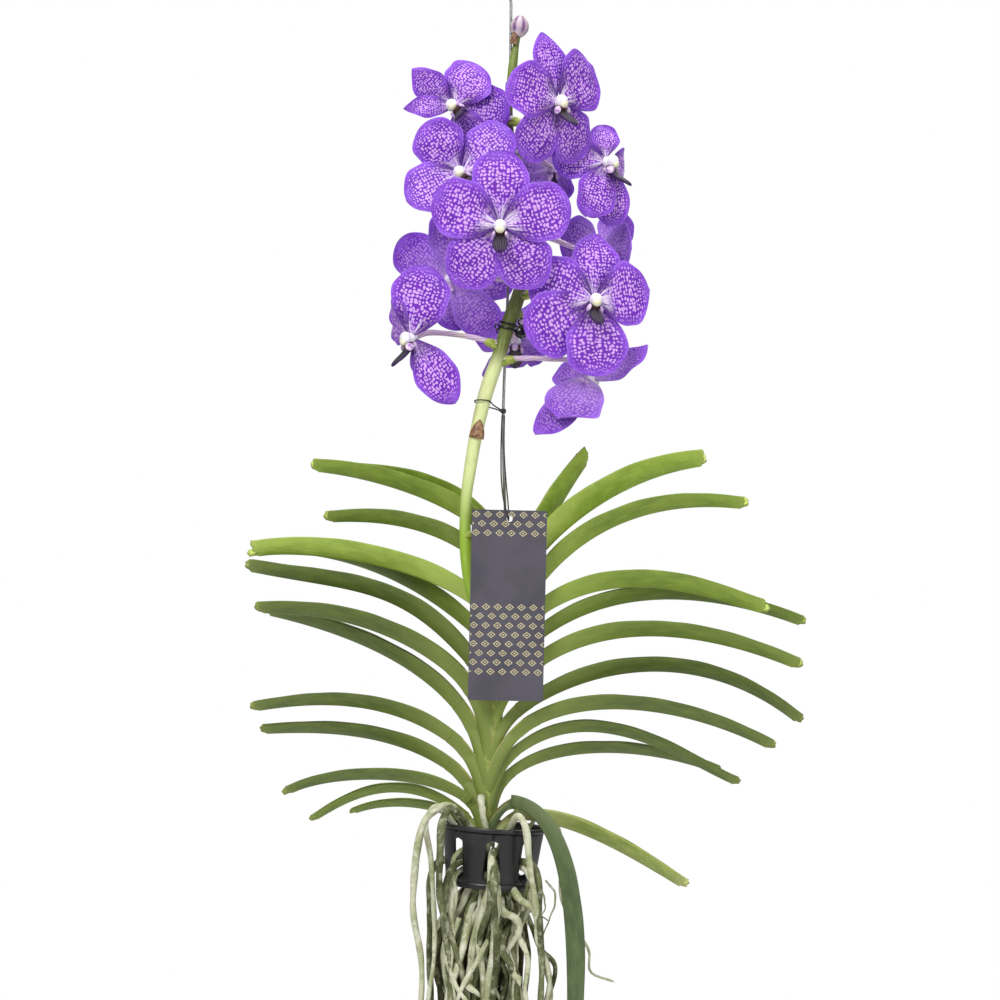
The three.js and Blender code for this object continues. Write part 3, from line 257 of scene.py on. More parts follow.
WIRE_RADIUS, WIRE_END_RADIUS = 0.99, 0.7
HOOK_CENTRE, HOOK_REACH, HOOK_RISE = -12, 13, 12.99
HOOK_END = [[16, 0, -28], [13.6, 0, -20]]
WIRE_ROUTE = [
    [-12, 0, -22], [-7, 0, -34], [-1.5, 0, -44], [0, 0, -52], [0, 0, -60], [-0.4, 0, -100], [-1, 0, -180],
    [-2.2, 0, -253], [-4.9, 0, -320], [-5.4, 0, -341], [-5.2, 1, -372], [-4.6, 8, -394], [-4, 16, -411],
    [-3.6, 19, -432], [-4.6, 19, -480], [-7, 17, -560], [-9, 17, -596], [-10.4, 22, -612], [-12, 29, -624],
    [-12.6, 30.4, -634], [-12.8, 33.6, -638.6], [-12.8, 37.6, -638], [-12.8, 39.4, -632], [-12.8, 40, -624],
]

# centre, axis, inner and outer radius and height of the clip's rings
CLIP_BANDS = [
    ((-1.8, -9, -277.4), (0.29, 0.02, 0.96), 5.6, 7.1, 1.4),
    ((-2.6, -9, -280.6), (0.29, 0.02, 0.96), 5.6, 7.1, 1.4),
    ((-3.2, 0, -278), (0, 0, 1), 1.5, 3.1, 3), ((7.6, -11, -276), (0, 1, 0), 1.8, 3, 2),
    ((7, -11, -283), (0, 1, 0), 3, 4.6, 3), ((-9.6, -9.5, -279), (0.2, 1, 0), 1.2, 2.1, 2.4),
    ((-8.4, -9.5, -282.5), (0.2, 1, 0), 1.1, 1.9, 2.2),
]

CORD_ROUTE = [
    [-6.2, -5, -340.8], [-6.6, -8, -350], [-7, -13, -368], [-6.6, -19, -388], [-5, -26.2, -401],
    [-3.2, -28.2, -408], [-2.3, -28.6, -412.8], [-1.9, -26.4, -414.4], [-1.6, -24, -412.4],
    [-2, -22.4, -404], [-3.6, -17, -386], [-4.8, -11, -366], [-4.8, -6.6, -350], [-4.6, -4.4, -341],
]
CORD_RADIUS, TIE_RADIUS = 0.5, 0.475
KNOT = (-5.4, -4, -338)
TIE_ROUTE = [
    [-7, -4, -337], [-12, -8, -334], [-15.6, -15.4, -331], [-22, -17.4, -330.4], [-25.4, -12, -331],
    [-22.8, -6, -333], [-16, -3.6, -335], [-9, -1.4, -337], [-7, -1, -338],
]
TAG_TOP, TAG_WIDTH, TAG_HEIGHT, TAG_LEAN = (-1, -26, -407), 52, 132, 1.3
MARK_WIDE, MARK_HIGH = 8.2, 6.4  # a lozenge of the tag's bands with the room round it


# Curves


def mix(a, b, t):
    return a + (b - a) * t


def smooth(t):
    t = np.clip(t, 0, 1)
    return t * t * (3 - 2 * t)


def vec(*xyz):
    return np.array(xyz, float)


def unit(v):
    return v / np.maximum(np.linalg.norm(v, axis=-1, keepdims=True), 1e-9)


def circle(sides):
    return np.linspace(0, 2 * math.pi, sides, endpoint=False)


def cubic(t, start, leave, end, arrive):
    """From start to end, with the directions in which it leaves and arrives."""
    h = 2 * t**3 - 3 * t**2
    return (h + 1) * start + (t**3 - 2 * t**2 + t) * leave - h * end + (t**3 - t**2) * arrive


def spline(points, per):
    """A centripetal Catmull-Rom line; extra columns, such as a radius, ride along."""
    p = np.asarray(points, float)
    p = np.vstack([2 * p[0] - p[1], p, 2 * p[-1] - p[-2]])
    t = np.linspace(0, 1, per, endpoint=False)[:, None]
    out = []
    for p0, p1, p2, p3 in zip(p, p[1:], p[2:], p[3:]):
        a, b, c = (max(np.linalg.norm((v - u)[:3]), 1e-6) ** 0.5 for u, v in ((p0, p1), (p1, p2), (p2, p3)))
        leave = ((p1 - p0) / a - (p2 - p0) / (a + b) + (p2 - p1) / b) * b
        arrive = ((p2 - p1) / b - (p3 - p1) / (b + c) + (p3 - p2) / c) * b
        out.append(cubic(t, p1, leave, p2, arrive))
    return np.vstack([*out, p[-2]])


def lengths(line):
    """How far along the line each of its points is."""
    return np.concatenate([[0], np.cumsum(np.linalg.norm(np.diff(line[:, :3], axis=0), axis=1))])


def even(points, per, step):
    """A smooth line through the points, with its own points about a step apart."""
    line = spline(points, per)
    at = lengths(line)
    want = np.linspace(0, at[-1], max(3, int(round(at[-1] / step)) + 1))
    return np.stack([np.interp(want, at, column) for column in line.T], 1)


def at_height(route, height):
    """The point of a rising route at a height."""
    route = np.array(route, float)
    return np.array([np.interp(height, route[:, 2], column) for column in route.T])


def turned(axis):
    """Turns points, which stand round +Z, so that +Z lies along the axis."""
    axis = unit(vec(*axis))
    side = unit(np.cross(axis, (0, 1, 0) if abs(axis[1]) < 0.9 else (1, 0, 0)))
    return np.stack([side, np.cross(axis, side), axis])


def leaned(points, degrees, origin):
    """Points leaned to +X about their own origin, which goes to the origin given."""
    c, s = math.cos(math.radians(degrees)), math.sin(math.radians(degrees))
    return points @ vec([c, 0, -s], [0, 1, 0], [s, 0, c]) + origin


# Surfaces


def sheet_places(u, v):
    return np.stack(np.meshgrid(u, v), -1)


class Shape:
    """Collects surfaces, in millimetres, for one mesh."""

    def __init__(self):
        self.points, self.faces, self.uvs, self.slots, self.count = [], [], [], [], 0

    def add(self, points, *parts):
        """Each part has an (m, k) array of corners, an (m, k, 2) array of their uvs, and a slot."""
        for faces, uvs, slot in parts:
            self.faces.append(faces + self.count)
            self.uvs.append(uvs.ravel())
            self.slots.append(np.full(len(faces), slot))
        self.points.append(points.reshape(-1, 3))
        self.count += len(self.points[-1])

    def loft(self, rings, v, slot=0, closed=False, folded=False):
        """A skin over rings, with flat ends or closed on itself. u runs round it or there and back."""
        n, sides = rings.shape[:2]
        across = lambda k: 0.5 + 0.5 * np.cos(2 * math.pi * k / sides) if folded else k / sides
        place = lambda i, k: np.stack([across(k), v[i] + 0 * k], -1)
        i, k = np.meshgrid(np.arange(n if closed else n - 1), np.arange(sides), indexing="ij")
        corners = (i, k), (i, k + 1), (i + 1, k + 1), (i + 1, k)
        quads = np.stack([i % n * sides + k % sides for i, k in corners], -1).reshape(-1, 4)
        parts = [(quads, np.stack([place(*corner) for corner in corners], -2), slot)]
        if not closed:
            i, k = np.array([[0], [n - 1]]), np.stack([np.arange(sides)[::-1], np.arange(sides)])
            parts.append((i * sides + k, place(i, k), slot))
        self.add(rings, *parts)

    def tube(self, line, radius, sides=12, slot=0, rib=lambda along, turn: 1.0, uv_scale=1.0, offset=0.0):
        """A round tube with flat ends. rib gives a factor for each ring and angle."""
        line = np.asarray(line, float)
        along = unit(np.gradient(line[:, :3], axis=0))
        beside = [np.cross(along[0], (0, 0, 1) if abs(along[0][2]) < 0.8 else (0, -1, 0))]
        for way in along:
            beside.append(unit(beside[-1] - way * beside[-1].dot(way)))
        normal = np.array(beside[1:])
        at, turn = lengths(line), circle(sides)
        binormal = np.cross(along, normal)
        out = normal[:, None] * np.cos(turn)[:, None] + binormal[:, None] * np.sin(turn)[:, None]
        r = np.broadcast_to(radius, len(line))[:, None] * rib(at[:, None], turn[None])
        self.loft(line[:, None, :3] + out * r[..., None], at * uv_scale + offset, slot)

    def lathe(self, profile, sides, stand):
        """A ring with a profile of (radius, height). stand carries points into the row frame."""
        r, z = np.array(profile, float).T[..., None]
        turn = circle(sides)
        rings = np.stack([r * np.cos(turn), r * np.sin(turn), z + 0 * turn], -1)
        self.loft(stand(rings), np.linspace(0, 1, len(profile) + 1), closed=True)

    def grid(self, front, back, uv, slots=(0, 0)):
        """A thin closed sheet between two grids of points, with a slot for each face."""
        corner = np.arange(front[..., 0].size).reshape(front.shape[:2])
        quad = np.stack([corner[:-1, :-1], corner[:-1, 1:], corner[1:, 1:], corner[1:, :-1]], -1)
        quad = quad.reshape(-1, 4)
        rim = np.concatenate([corner[0], corner[1:, -1], corner[-1, -2::-1], corner[-2:0:-1, 0]])
        after = np.roll(rim, -1)
        size, uv = corner.size, uv.reshape(-1, 2)
        edge = np.stack([after, rim, rim + size, after + size], -1)
        faces = (quad, slots[0]), (quad[:, ::-1] + size, slots[1]), (edge, slots[0])
        self.add(np.stack([front, back]), *((f, uv[f % size], slot) for f, slot in faces))

    def blob(self, centre, axes, slot=0, rings=12, sides=18):
        """A closed rounded body on three axes."""
        p, t = np.meshgrid(np.linspace(0, math.pi, rings + 1)[1:-1], circle(sides), indexing="ij")
        ball = np.stack([np.sin(p) * np.cos(t), np.sin(p) * np.sin(t), np.cos(p)], -1).reshape(-1, 3)
        ball = np.vstack([ball, [0, 0, 1], [0, 0, -1]])
        uv = np.vstack([np.stack([t, p], -1).reshape(-1, 2), [0, 0], [0, math.pi]]) / (2 * math.pi, math.pi)
        i, k = np.meshgrid(np.arange(rings - 2), np.arange(sides), indexing="ij")
        k2 = (k + 1) % sides
        low, pole = (rings - 2) * sides, (rings - 1) * sides
        quads = np.stack([i * sides + k, i * sides + sides + k, i * sides + sides + k2, i * sides + k2], -1)
        quads, k, k2 = quads.reshape(-1, 4), k[0], k2[0]
        fans = np.vstack([np.stack([0 * k + pole, k, k2], -1),
                          np.stack([0 * k + pole + 1, low + k2, low + k], -1)])
        points = centre + ball @ np.asarray(axes, float)
        self.add(points, (quads, uv[quads], slot), (fans, uv[fans], slot))

    def build(self, name, materials, nodes):
        mesh = bpy.data.meshes.new(name)
        points = np.concatenate(self.points) * MM
        corners = np.concatenate([f.ravel() for f in self.faces])
        totals = np.concatenate([np.full(len(f), f.shape[1]) for f in self.faces])
        for items, values in ((mesh.vertices, points), (mesh.loops, corners), (mesh.polygons, totals)):
            items.add(len(values))
        mesh.vertices.foreach_set("co", points.ravel())
        mesh.loops.foreach_set("vertex_index", corners)
        mesh.polygons.foreach_set("loop_start", np.cumsum(totals) - totals)
        mesh.polygons.foreach_set("material_index", np.concatenate(self.slots))
        mesh.polygons.foreach_set("use_smooth", np.full(len(totals), True))
        mesh.uv_layers.new(name="UVMap").uv.foreach_set("vector", np.concatenate(self.uvs))
        mesh.update(calc_edges=True)
        for material in materials:
            mesh.materials.append(material)
        dress(name, mesh, nodes)


def put(name, data):
    piece = bpy.data.objects.new(name, data)
    bpy.context.scene.collection.objects.link(piece)
    return piece


def dress(name, data, nodes):
    piece = put(name, data)
    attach(piece, "root")
    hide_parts(*nodes)
    return piece


# Materials


def srgb(*colour):
    shares = (c / 255 for c in colour)
    return (*(c / 12.92 if c <= 0.04045 else ((c + 0.055) / 1.055) ** 2.4 for c in shares), 1)


class Value:
    """A value in a material, reckoned with as a number is."""

    def __init__(self, finish, socket):
        self.finish, self.socket = finish, socket

    def math(self, operation, other=0.0):
        return self.finish.node("Math", {0: self, 1: other}, operation=operation)

    __add__ = lambda self, other: self.math("ADD", other)
    __sub__ = lambda self, other: self.math("SUBTRACT", other)
    __mul__ = lambda self, other: self.math("MULTIPLY", other)
    __truediv__ = lambda self, other: self.math("DIVIDE", other)
    __abs__ = lambda self: self.math("ABSOLUTE")

    def ripple(self):
        return abs(self.math("SINE"))

    def span(self, low, high, to_low=0.0, to_high=1.0):
        """Goes smoothly from to_low, where this value is low, to to_high, where it is high."""
        inputs = {"Value": self, "From Min": low, "From Max": high, "To Min": to_low, "To Max": to_high}
        return self.finish.node("MapRange", inputs, interpolation_type="SMOOTHSTEP")


class Finish:
    """A procedural material on one Principled shader. Its coat is a first colour with others laid over it."""

    def __init__(self, name):
        self.material = bpy.data.materials.new(name)
        self.material.use_nodes = True
        self.tree = self.material.node_tree

    place = cached_property(lambda self: self.node("TexCoord", {}, "Object"))
    uv = cached_property(lambda self: self.split(self.node("TexCoord", {}, "UV")))
    u = property(lambda self: self.uv[0])
    v = property(lambda self: self.uv[1])

    def join(self, socket, value):
        if isinstance(value, Value):
            self.tree.links.new(value.socket, socket)
        else:
            socket.default_value = value

    def node(self, kind, inputs, out=0, **settings):
        node = self.tree.nodes.new("ShaderNode" + kind)
        for key, value in settings.items():
            setattr(node, key, value)
        for key, value in inputs.items():
            self.join(node.inputs[key], value)
        return Value(self, node.outputs[out])

    def split(self, vector):
        return [Value(self, out) for out in self.node("SeparateXYZ", {0: vector}).socket.node.outputs]

    def vector(self, x, y):
        return self.node("CombineXYZ", {0: x, 1: y})

    def stretch(self, across, along):
        """The place on the surface, stretched by a factor each way."""
        return self.vector(self.u * across, self.v * along)

    def noise(self, vector, scale, detail=3.0, rough=0.55, distort=0.0, out="Fac"):
        inputs = {"Vector": vector, "Scale": scale, "Detail": detail,
                  "Roughness": rough, "Distortion": distort}
        return self.node("TexNoise", inputs, out)

    def cells(self, vector, feature="DISTANCE_TO_EDGE", random=1.0, out="Distance"):
        inputs = {"Vector": vector, "Scale": 1.0, "Randomness": random}
        return self.node("TexVoronoi", inputs, out, feature=feature, voronoi_dimensions="2D")

    def blend(self, factor, a, b):
        a, b = (srgb(*c) if isinstance(c, tuple) and len(c) == 3 else c for c in (a, b))
        return self.node("Mix", {0: factor, 6: a, 7: b}, 2, data_type="RGBA")

    def paint(self, colour, cover):
        self.coat = self.blend(cover, self.coat, colour)

    def set(self, **sockets):
        for key, value in sockets.items():
            self.join(self.tree.nodes["Principled BSDF"].inputs[key.replace("_", " ")], value)
        return self.material

    def done(self, rough, height, strength, distance, **sockets):
        """The material with its coat, its roughness, a relief of this height and the other sockets set."""
        relief = self.node("Bump", {"Strength": strength, "Distance": distance, "Height": height})
        return self.set(Base_Color=self.coat, Roughness=rough, Normal=relief, **sockets)


def galvanised():
    m = Finish("galvanised_wire")
    streak = m.noise(m.stretch(9.0, 0.06), 2.0, 4.0)
    spangle = m.split(m.cells(m.stretch(6.0, 0.8), "F1", out="Color"))[0]
    m.coat = m.blend(streak * 0.6 + spangle * 0.4, (120, 122, 124), (196, 198, 200))
    return m.done(streak.span(0.3, 0.75, 0.26, 0.5), streak, 0.25, 0.0002, Metallic=1.0)


def black_plastic(name, low, high, colour):
    m = Finish(name)
    haze = m.noise(m.place, 45.0, 4.0, 0.6)
    m.coat = m.blend(haze.span(0.45, 0.8), colour, (*(2.4 * c + 0.004 for c in colour[:3]), 1))
    return m.done(haze.span(0.35, 0.75, low, high), m.noise(m.place, 900.0, 2.0), 0.12, 0.0002)


def leaf_finish(name, colour, deep, young, under):
    """Ribbed leaf with darker streaks, paler by the stem, with a papery margin where it clasps the stem."""
    m = Finish(name)
    away = abs(m.u * 2.0 - 1.0)
    vein = m.noise(m.stretch(46.0, 6.0), 1.0, 3.0, 0.6)
    cloud = m.noise(m.stretch(2.5, 7.0), 1.3, 4.0, 0.6, 0.4)
    ridge = (m.u * 150.0).math("SINE")
    fleck = m.cells(m.stretch(14.0, 60.0), "F1")
    m.coat = m.blend(cloud.span(0.3, 0.75), deep, colour)
    m.paint(young, vein.span(0.42, 0.72) * 0.28)
    m.paint(young, m.v.span(0.42, 0.02, 0.0, 0.6))
    m.paint(young, m.v.span(0.9, 1.0, 0.0, 0.4))
    # along the fold: lighter on the outer keel, and painted shade in the inner crease
    m.paint(young if under else deep, away.span(0.06, 0.015) * 0.4)
    m.paint(deep, away.span(0.95, 0.99) * 0.3)
    m.paint((196, 186, 118), m.v.span(0.0, -0.05) * away.span(0.9, 0.985) * 0.7)
    m.paint((84, 78, 34), fleck.span(0.1, 0.05) * cloud.span(0.58, 0.68) * 0.4)
    m.paint((146, 140, 84), m.v.span(0.992, 1.0) * cloud.span(0.4, 0.6, 0.1, 0.5))
    rough = cloud.span(0.3, 0.8, *((0.44, 0.6) if under else (0.36, 0.5)))
    return m.done(rough, vein * 0.6 + ridge * 0.16, 0.35, 0.0006,
                  Specular_IOR_Level=0.4, Subsurface_Weight=0.06, Subsurface_Scale=0.002)


def stalk_finish():
    """The flower stem, pale yellow-green low down, olive among the flowers, and darker at the top, where
    painted shade stands for the shadow of the blooms around it.
    """
    m = Finish("flower_stalk_green")
    z = m.split(m.place)[2]
    vein = m.noise(m.stretch(12.0, 0.05), 2.0, 3.0)
    cloud = m.noise(m.place, 60.0, 4.0)
    m.coat = m.blend(z.span(-0.312, -0.292), (222, 232, 164), (106, 120, 50))
    # painted shade: a dark olive band where the upper blooms crowd round the stalk
    m.paint((84, 88, 46), z.span(-0.24, -0.17))
    m.paint((126, 146, 58), z.span(-0.13, -0.1))
    m.paint((150, 184, 54), z.span(-0.37, -0.43))
    m.paint((184, 204, 110), vein.span(0.45, 0.75) * 0.35)
    m.paint((120, 124, 52), cloud.span(0.55, 0.72) * 0.2)
    rough = cloud.span(0.3, 0.7, 0.34, 0.5)
    return m.done(rough, vein, 0.3, 0.0005, Subsurface_Weight=0.08, Subsurface_Scale=0.002)


def plain_plant(name, light, dark, scale=220.0, rough=(0.4, 0.6), strength=0.3):
    m = Finish(name)
    cloud = m.noise(m.place, scale, 4.0, 0.6)
    m.coat = m.blend(cloud.span(0.35, 0.65), dark, light)
    rough = cloud.span(0.3, 0.7, *rough)
    return m.done(rough, cloud, strength, 0.0004, Subsurface_Weight=0.05, Subsurface_Scale=0.0015)


def pedicel_finish():
    m = Finish("pedicel_lilac")
    stripe = ((m.u * 6.0 + m.v * 0.12) * math.pi).ripple()
    m.coat = m.blend(stripe.span(0.2, 0.9), (186, 150, 190), (224, 200, 222))
    m.paint((190, 190, 140), m.noise(m.place, 160.0, 3.0).span(0.5, 0.7) * 0.5)
    return m.done(0.45, stripe, 0.35, 0.0005, Subsurface_Weight=0.08, Subsurface_Scale=0.0015)


def bud_finish():
    m = Finish("striped_bud")
    stripe, cloud = (m.u * 18.85).ripple(), m.noise(m.place, 320.0, 3.0, 0.6)
    m.coat = m.blend(stripe.span(0.35, 0.85), (124, 84, 138), (206, 182, 200))
    m.paint((232, 218, 212), m.v.span(5.0, 1.0))
    m.paint((172, 174, 132), cloud.span(0.5, 0.65) * 0.5)
    return m.done(0.45, stripe + cloud * 0.4, 0.3, 0.0005)


def tepal_finish(name, back=False):
    """Netted violet: pale spots between darker veins, streaked at the claw and fainter at the margin."""
    m = Finish(name)
    away = abs((m.u.math("FRACT") - 0.5) * 2.04)
    wx, wy, _ = m.split(m.noise(m.stretch(7.0, 7.0), 1.0, 2.0, 0.5, 0.0, "Color"))
    lattice = m.vector(m.u * 15.0 + wx * 1.2, m.v.math("POWER", 1.15) * 19.0 + wy * 1.6)
    middle, edge = m.cells(lattice, "F1", 0.55), m.cells(lattice, random=0.55)
    tint = m.split(m.cells(lattice, "F1", 0.55, "Color"))[0]
    fine = m.cells(m.stretch(34.0, 56.0), random=0.9)
    cloud = m.noise(m.stretch(3.0, 3.0), 1.2, 3.0, 0.5)
    veins = m.noise(m.stretch(22.0, 2.4), 1.0, 3.0, 0.6)
    fade = away.span(1.16, 0.46) * m.v.span(1.16, 0.62)
    size = fade * 0.22 + (tint * 0.14 + (cloud - 0.36) * 0.3)
    rim = away.span(0.62, 1.0).math("MAXIMUM", m.v.span(0.78, 1.0))
    margin = away.span(0.93, 1.0).math("MAXIMUM", m.v.span(0.975, 1.0))
    pale = m.blend(fade.span(0.1, 0.8), (170, 108, 236), (234, 188, 252))
    m.coat = m.blend(cloud.span(0.3, 0.7), (104, 16, 176), (126, 30, 204))
    m.paint((145, 76, 230), rim * 0.6)
    m.paint((92, 18, 156), veins.span(0.5, 0.7) * 0.35)
    m.paint((96, 20, 160), edge.span(0.14, 0.0) * 0.45)
    m.paint((190, 134, 250), fine.span(0.05, 0.3) * (rim * 0.3 + 0.12))
    m.paint((186, 138, 248), margin * 0.35)
    m.paint(pale, (middle - size).span(0.1, -0.08) * (0.5 if back else 0.86))
    if back:
        m.paint((206, 168, 244), m.v.span(0.9, 0.1, 0.04, 0.36))
        m.paint((144, 104, 184), away.span(0.08, 0.0) * 0.4)
        m.paint((180, 148, 208), m.v.span(0.22, 0.0))
    else:
        lower = m.u.math("MODULO", 5.0).span(2.95, 3.05)
        ray = m.noise(m.stretch(15.0, 1.8), 1.0, 2.0, 0.5)
        # painted shade: darker violet at the sides of each claw, deepest on the lower sepals by the lip
        claw_painted_shade = m.v.span(0.46, 0.12) * away.span(0.16, 0.7)
        m.paint((60, 12, 100), claw_painted_shade.math("MAXIMUM", m.v.span(0.34, 0.1) * (lower * 0.8)) * 0.72)
        claw = m.v.span(0.32, 0.06) * ray.span(0.45, 0.55) * lower.span(0.0, 1.0, 1.0, 0.35)
        m.paint((248, 236, 252), claw * away.span(0.85, 0.35))
    height = edge.math("MINIMUM", 0.35) * 1.2 + (fine * 0.3 + veins * 0.8)
    return m.done(cloud.span(0.3, 0.7, 0.42, 0.56), height, 0.4, 0.0007,
                  Specular_IOR_Level=0.35, Subsurface_Weight=0.08, Subsurface_Radius=(0.6, 0.35, 1.0),
                  Subsurface_Scale=0.0012, Sheen_Weight=0.06)


def lip_finish():
    m = Finish("lip_dark")
    ridge, cloud = (m.u * 20.0).ripple(), m.noise(m.place, 500.0, 3.0)
    m.coat = m.blend(ridge.span(0.2, 0.95), (34, 24, 40), (70, 62, 74))
    m.paint((56, 18, 92), m.v.span(0.7, 1.0))
    m.paint((50, 20, 84), abs(m.u * 2.0 - 1.0).span(0.72, 1.0))
    m.paint((50, 48, 46), cloud * 0.3)
    return m.done(cloud.span(0.3, 0.7, 0.4, 0.55), ridge, 0.6, 0.0008, Specular_IOR_Level=0.3)


def root_finish(name, damp, dry, lime, bruise, bruised):
    """Velamen: dry silver over damp green, with lime flecks, and more bruises where bruised is higher."""
    m = Finish(name)
    patch, other = m.noise(m.place, 42.0, 5.0, 0.62, 0.3), m.noise(m.place, 130.0, 4.0, 0.68, 0.5)
    fibre = m.noise(m.stretch(9.0, 0.14), 3.0, 4.0, 0.65)
    m.coat = m.blend(patch.span(0.36, 0.62), damp, dry)
    m.paint(lime, other.span(0.5, 0.66) * 0.6)
    m.paint(bruise, other.span(bruised, 0.3) * 0.7)
    m.paint(lime, fibre.span(0.5, 0.8) * 0.4)
    rough = fibre.span(0.3, 0.7, 0.66, 0.9)
    return m.done(rough, fibre * 0.7 + other * 0.5, 0.6, 0.0008, Specular_IOR_Level=0.25)


def cord_finish():
    m = Finish("twisted_black_cord")
    x, y, z = m.split(m.place)
    strand = (z * 4200.0 + (x + y) * 2600.0).ripple()
    m.coat = m.blend(strand.span(0.1, 0.9), (12, 12, 12), (44, 43, 42))
    return m.done(0.8, strand, 0.5, 0.0002, Sheen_Weight=0.2)


def tag_finish():
    """Dark card with two bands of pale lozenge outlines in staggered rows on its front; the rest is bare."""
    m = Finish("printed_tag")
    x, y, z = m.split(m.place)
    lean = math.radians(TAG_LEAN)
    dx, dz = x * 1000.0 - float(TAG_TOP[0]), z * 1000.0 - float(TAG_TOP[2])
    across = dx * math.cos(lean) - dz * math.sin(lean)
    down = dx * -math.sin(lean) - dz * math.cos(lean)
    row = down / MARK_HIGH
    column = (across + 60.0) / MARK_WIDE + row.math("FLOOR").math("MODULO", 2.0) * 0.5
    lozenge = abs(column.math("FRACT") - 0.5) * MARK_WIDE + abs(row.math("FRACT") - 0.5) * MARK_HIGH * 1.25
    mark = lozenge.span(3.0, 2.85) - lozenge.span(2.15, 2.0) + lozenge.span(0.9, 0.75)
    bands = down.span(0.6, 0.9) * down.span(19.1, 18.8) + down.span(64.1, 64.4) * down.span(115.1, 114.8)
    inside = abs(across).span(25.6, 25.3) * y.span(-0.0262, -0.02635)
    paper, haze = m.noise(m.place, 1400.0, 2.0), m.noise(m.place, 30.0, 3.0)
    m.coat = m.blend(haze.span(0.35, 0.65), (70, 67, 78), (82, 78, 90))
    m.paint((206, 196, 150), mark * bands * inside)
    return m.done(paper.span(0.3, 0.7, 0.5, 0.62), paper, 0.08, 0.0001)


# Camera

CAMERA_X, CAMERA_AWAY, CAMERA_Z = -7.7, 2400, -400
FRAME_WIDTH = 700  # width that the frame takes in at the wire
SENSOR = 36
lens = bpy.data.cameras.new("camera")
lens.sensor_width = SENSOR
lens.lens = SENSOR * CAMERA_AWAY / FRAME_WIDTH
camera = put("camera", lens)
camera.location = Vector((CAMERA_X, -CAMERA_AWAY, CAMERA_Z)) * MM
camera.rotation_euler = (math.radians(90), 0, 0)
bpy.context.scene.camera = camera


# Wire, pot, clip, cords and tag


def add_line(curve, points, closed=False):
    route = curve.splines.new("POLY")
    route.points.add(len(points) - 1)
    route.use_cyclic_u = closed
    spots = np.tile([0.0, 0.0, 0.0, 1.0], (len(points), 1))
    spots[:, : points.shape[1]] = points * MM
    route.points.foreach_set("co", spots.ravel())


def tag_cord(thread):
    line = even(CORD_ROUTE, 10, 1.6)
    curve = bpy.data.curves.new("look_tag_cord", "CURVE")
    curve.dimensions = "3D"
    curve.bevel_depth = CORD_RADIUS * MM
    curve.bevel_resolution = 3
    curve.use_fill_caps = True
    add_line(curve, line)
    curve.materials.append(thread)
    piece = dress("look_tag_cord", curve, ["tag_cord"])
    line = line * MM
    float(lengths(line)[-1])


def tie(thread):
    """The loop round the flower stem and the knot on the wire, whose turns are wound three ways."""
    shape = Shape()
    lay = lambda along, turn: 1 + 0.12 * np.cos(3 * turn + along * 2.2)
    shape.tube(even(TIE_ROUTE, 10, 0.6), TIE_RADIUS, 12, rib=lay)
    turn = np.linspace(0, 2 * math.pi * 2.6, 90)
    for tilt, size, rise in ((0.5, 1.55, 0.5), (-0.55, 1.5, -0.5), (1.35, 1.35, 0)):
        x, y = size * np.cos(turn), size * np.sin(turn)
        loop = np.stack([x, y * math.cos(tilt), y * math.sin(tilt) + rise + 0.3 * turn / 16], 1)
        shape.tube(KNOT + loop, TIE_RADIUS, 10, rib=lay)
    shape.blob(KNOT, np.eye(3) * 1.5)
    shape.build("look_cord_tie", [thread], ["cord_tie"])


def wire():
    turn = np.radians(np.arange(0, 181, 10))
    hook = np.stack([HOOK_REACH * np.cos(turn), 0 * turn, HOOK_CENTRE + HOOK_RISE * np.sin(turn)], 1)
    line = even(np.vstack([HOOK_END, hook, WIRE_ROUTE]), 8, 2.0)
    radius = np.full(len(line), WIRE_RADIUS)
    radius[[0, -1]] = WIRE_END_RADIUS
    shape = Shape()
    shape.tube(line, radius, 16)
    shape.build("look_hanger_wire", [galvanised()], ["wire_hook", "hanger_wire"])


def pot():
    """Eight wall panels make the cup. A panel is cut back beside the slots, whose corners are round."""
    stand = lambda points: leaned(points, POT_LEAN, POT_CENTRE)
    shape = Shape()
    for profile in POT_RIM, POT_FLOOR:
        shape.lathe(profile, 96, stand)
    columns, rows = 9, 22
    height = np.linspace(WALL_TOP, WALL_FOOT, rows)[:, None]
    out = mix(WALL_TOP_RADIUS, WALL_FOOT_RADIUS, (WALL_TOP - height) / (WALL_TOP - WALL_FOOT))
    depth = np.minimum(SLOT_TOP - height, height - SLOT_FOOT)
    rounding = SLOT_CORNER - np.sqrt(SLOT_CORNER**2 - np.clip(SLOT_CORNER - depth, 0, SLOT_CORNER) ** 2)
    half = math.pi / PANELS - np.where(depth > 0, HALF_SLOT - rounding, 0) / out
    for k in range(PANELS):
        turn = 2 * math.pi * (k + 0.5) / PANELS + math.pi / 2 + np.linspace(-1, 1, columns) * half
        outer, inner = (stand(np.stack([r * np.cos(turn), r * np.sin(turn), height + 0 * turn], -1))
                        for r in (out, out - WALL_THICK))
        shape.grid(outer, inner, sheet_places(np.linspace(0, 1, columns), np.linspace(0, 1, rows)))
    finish = black_plastic("pot_plastic", 0.3, 0.5, srgb(24, 24, 26))
    shape.build("look_pot", [finish], ["pot"])


def clip():
    shape = Shape()
    for centre, axis, inner, outer, height in CLIP_BANDS:
        high, ease = height / 2, 0.35
        corners = [[inner, ease - high], [inner + ease, -high], [outer - ease, -high], [outer, ease - high],
                   [outer, high - ease], [outer - ease, high], [inner + ease, high], [inner, high - ease]]
        shape.lathe(corners, 40, lambda points: points @ turned(axis) + centre)
    shape.blob((7, -11.4, -283), turned((0, -1, 0)) * [[4.2], [4.2], [1.9]], rings=14, sides=28)
    for ends in ((-3, -5, -278), (-3.2, -1.5, -278)), ((4.6, -10.5, -279.5), (6.6, -11, -281)):
        shape.tube(np.linspace(*ends, 6), 1.3)
    finish = black_plastic("clip_plastic", 0.1, 0.2, srgb(16, 16, 18))
    shape.build("look_orchid_clip", [finish], ["orchid_clip"])


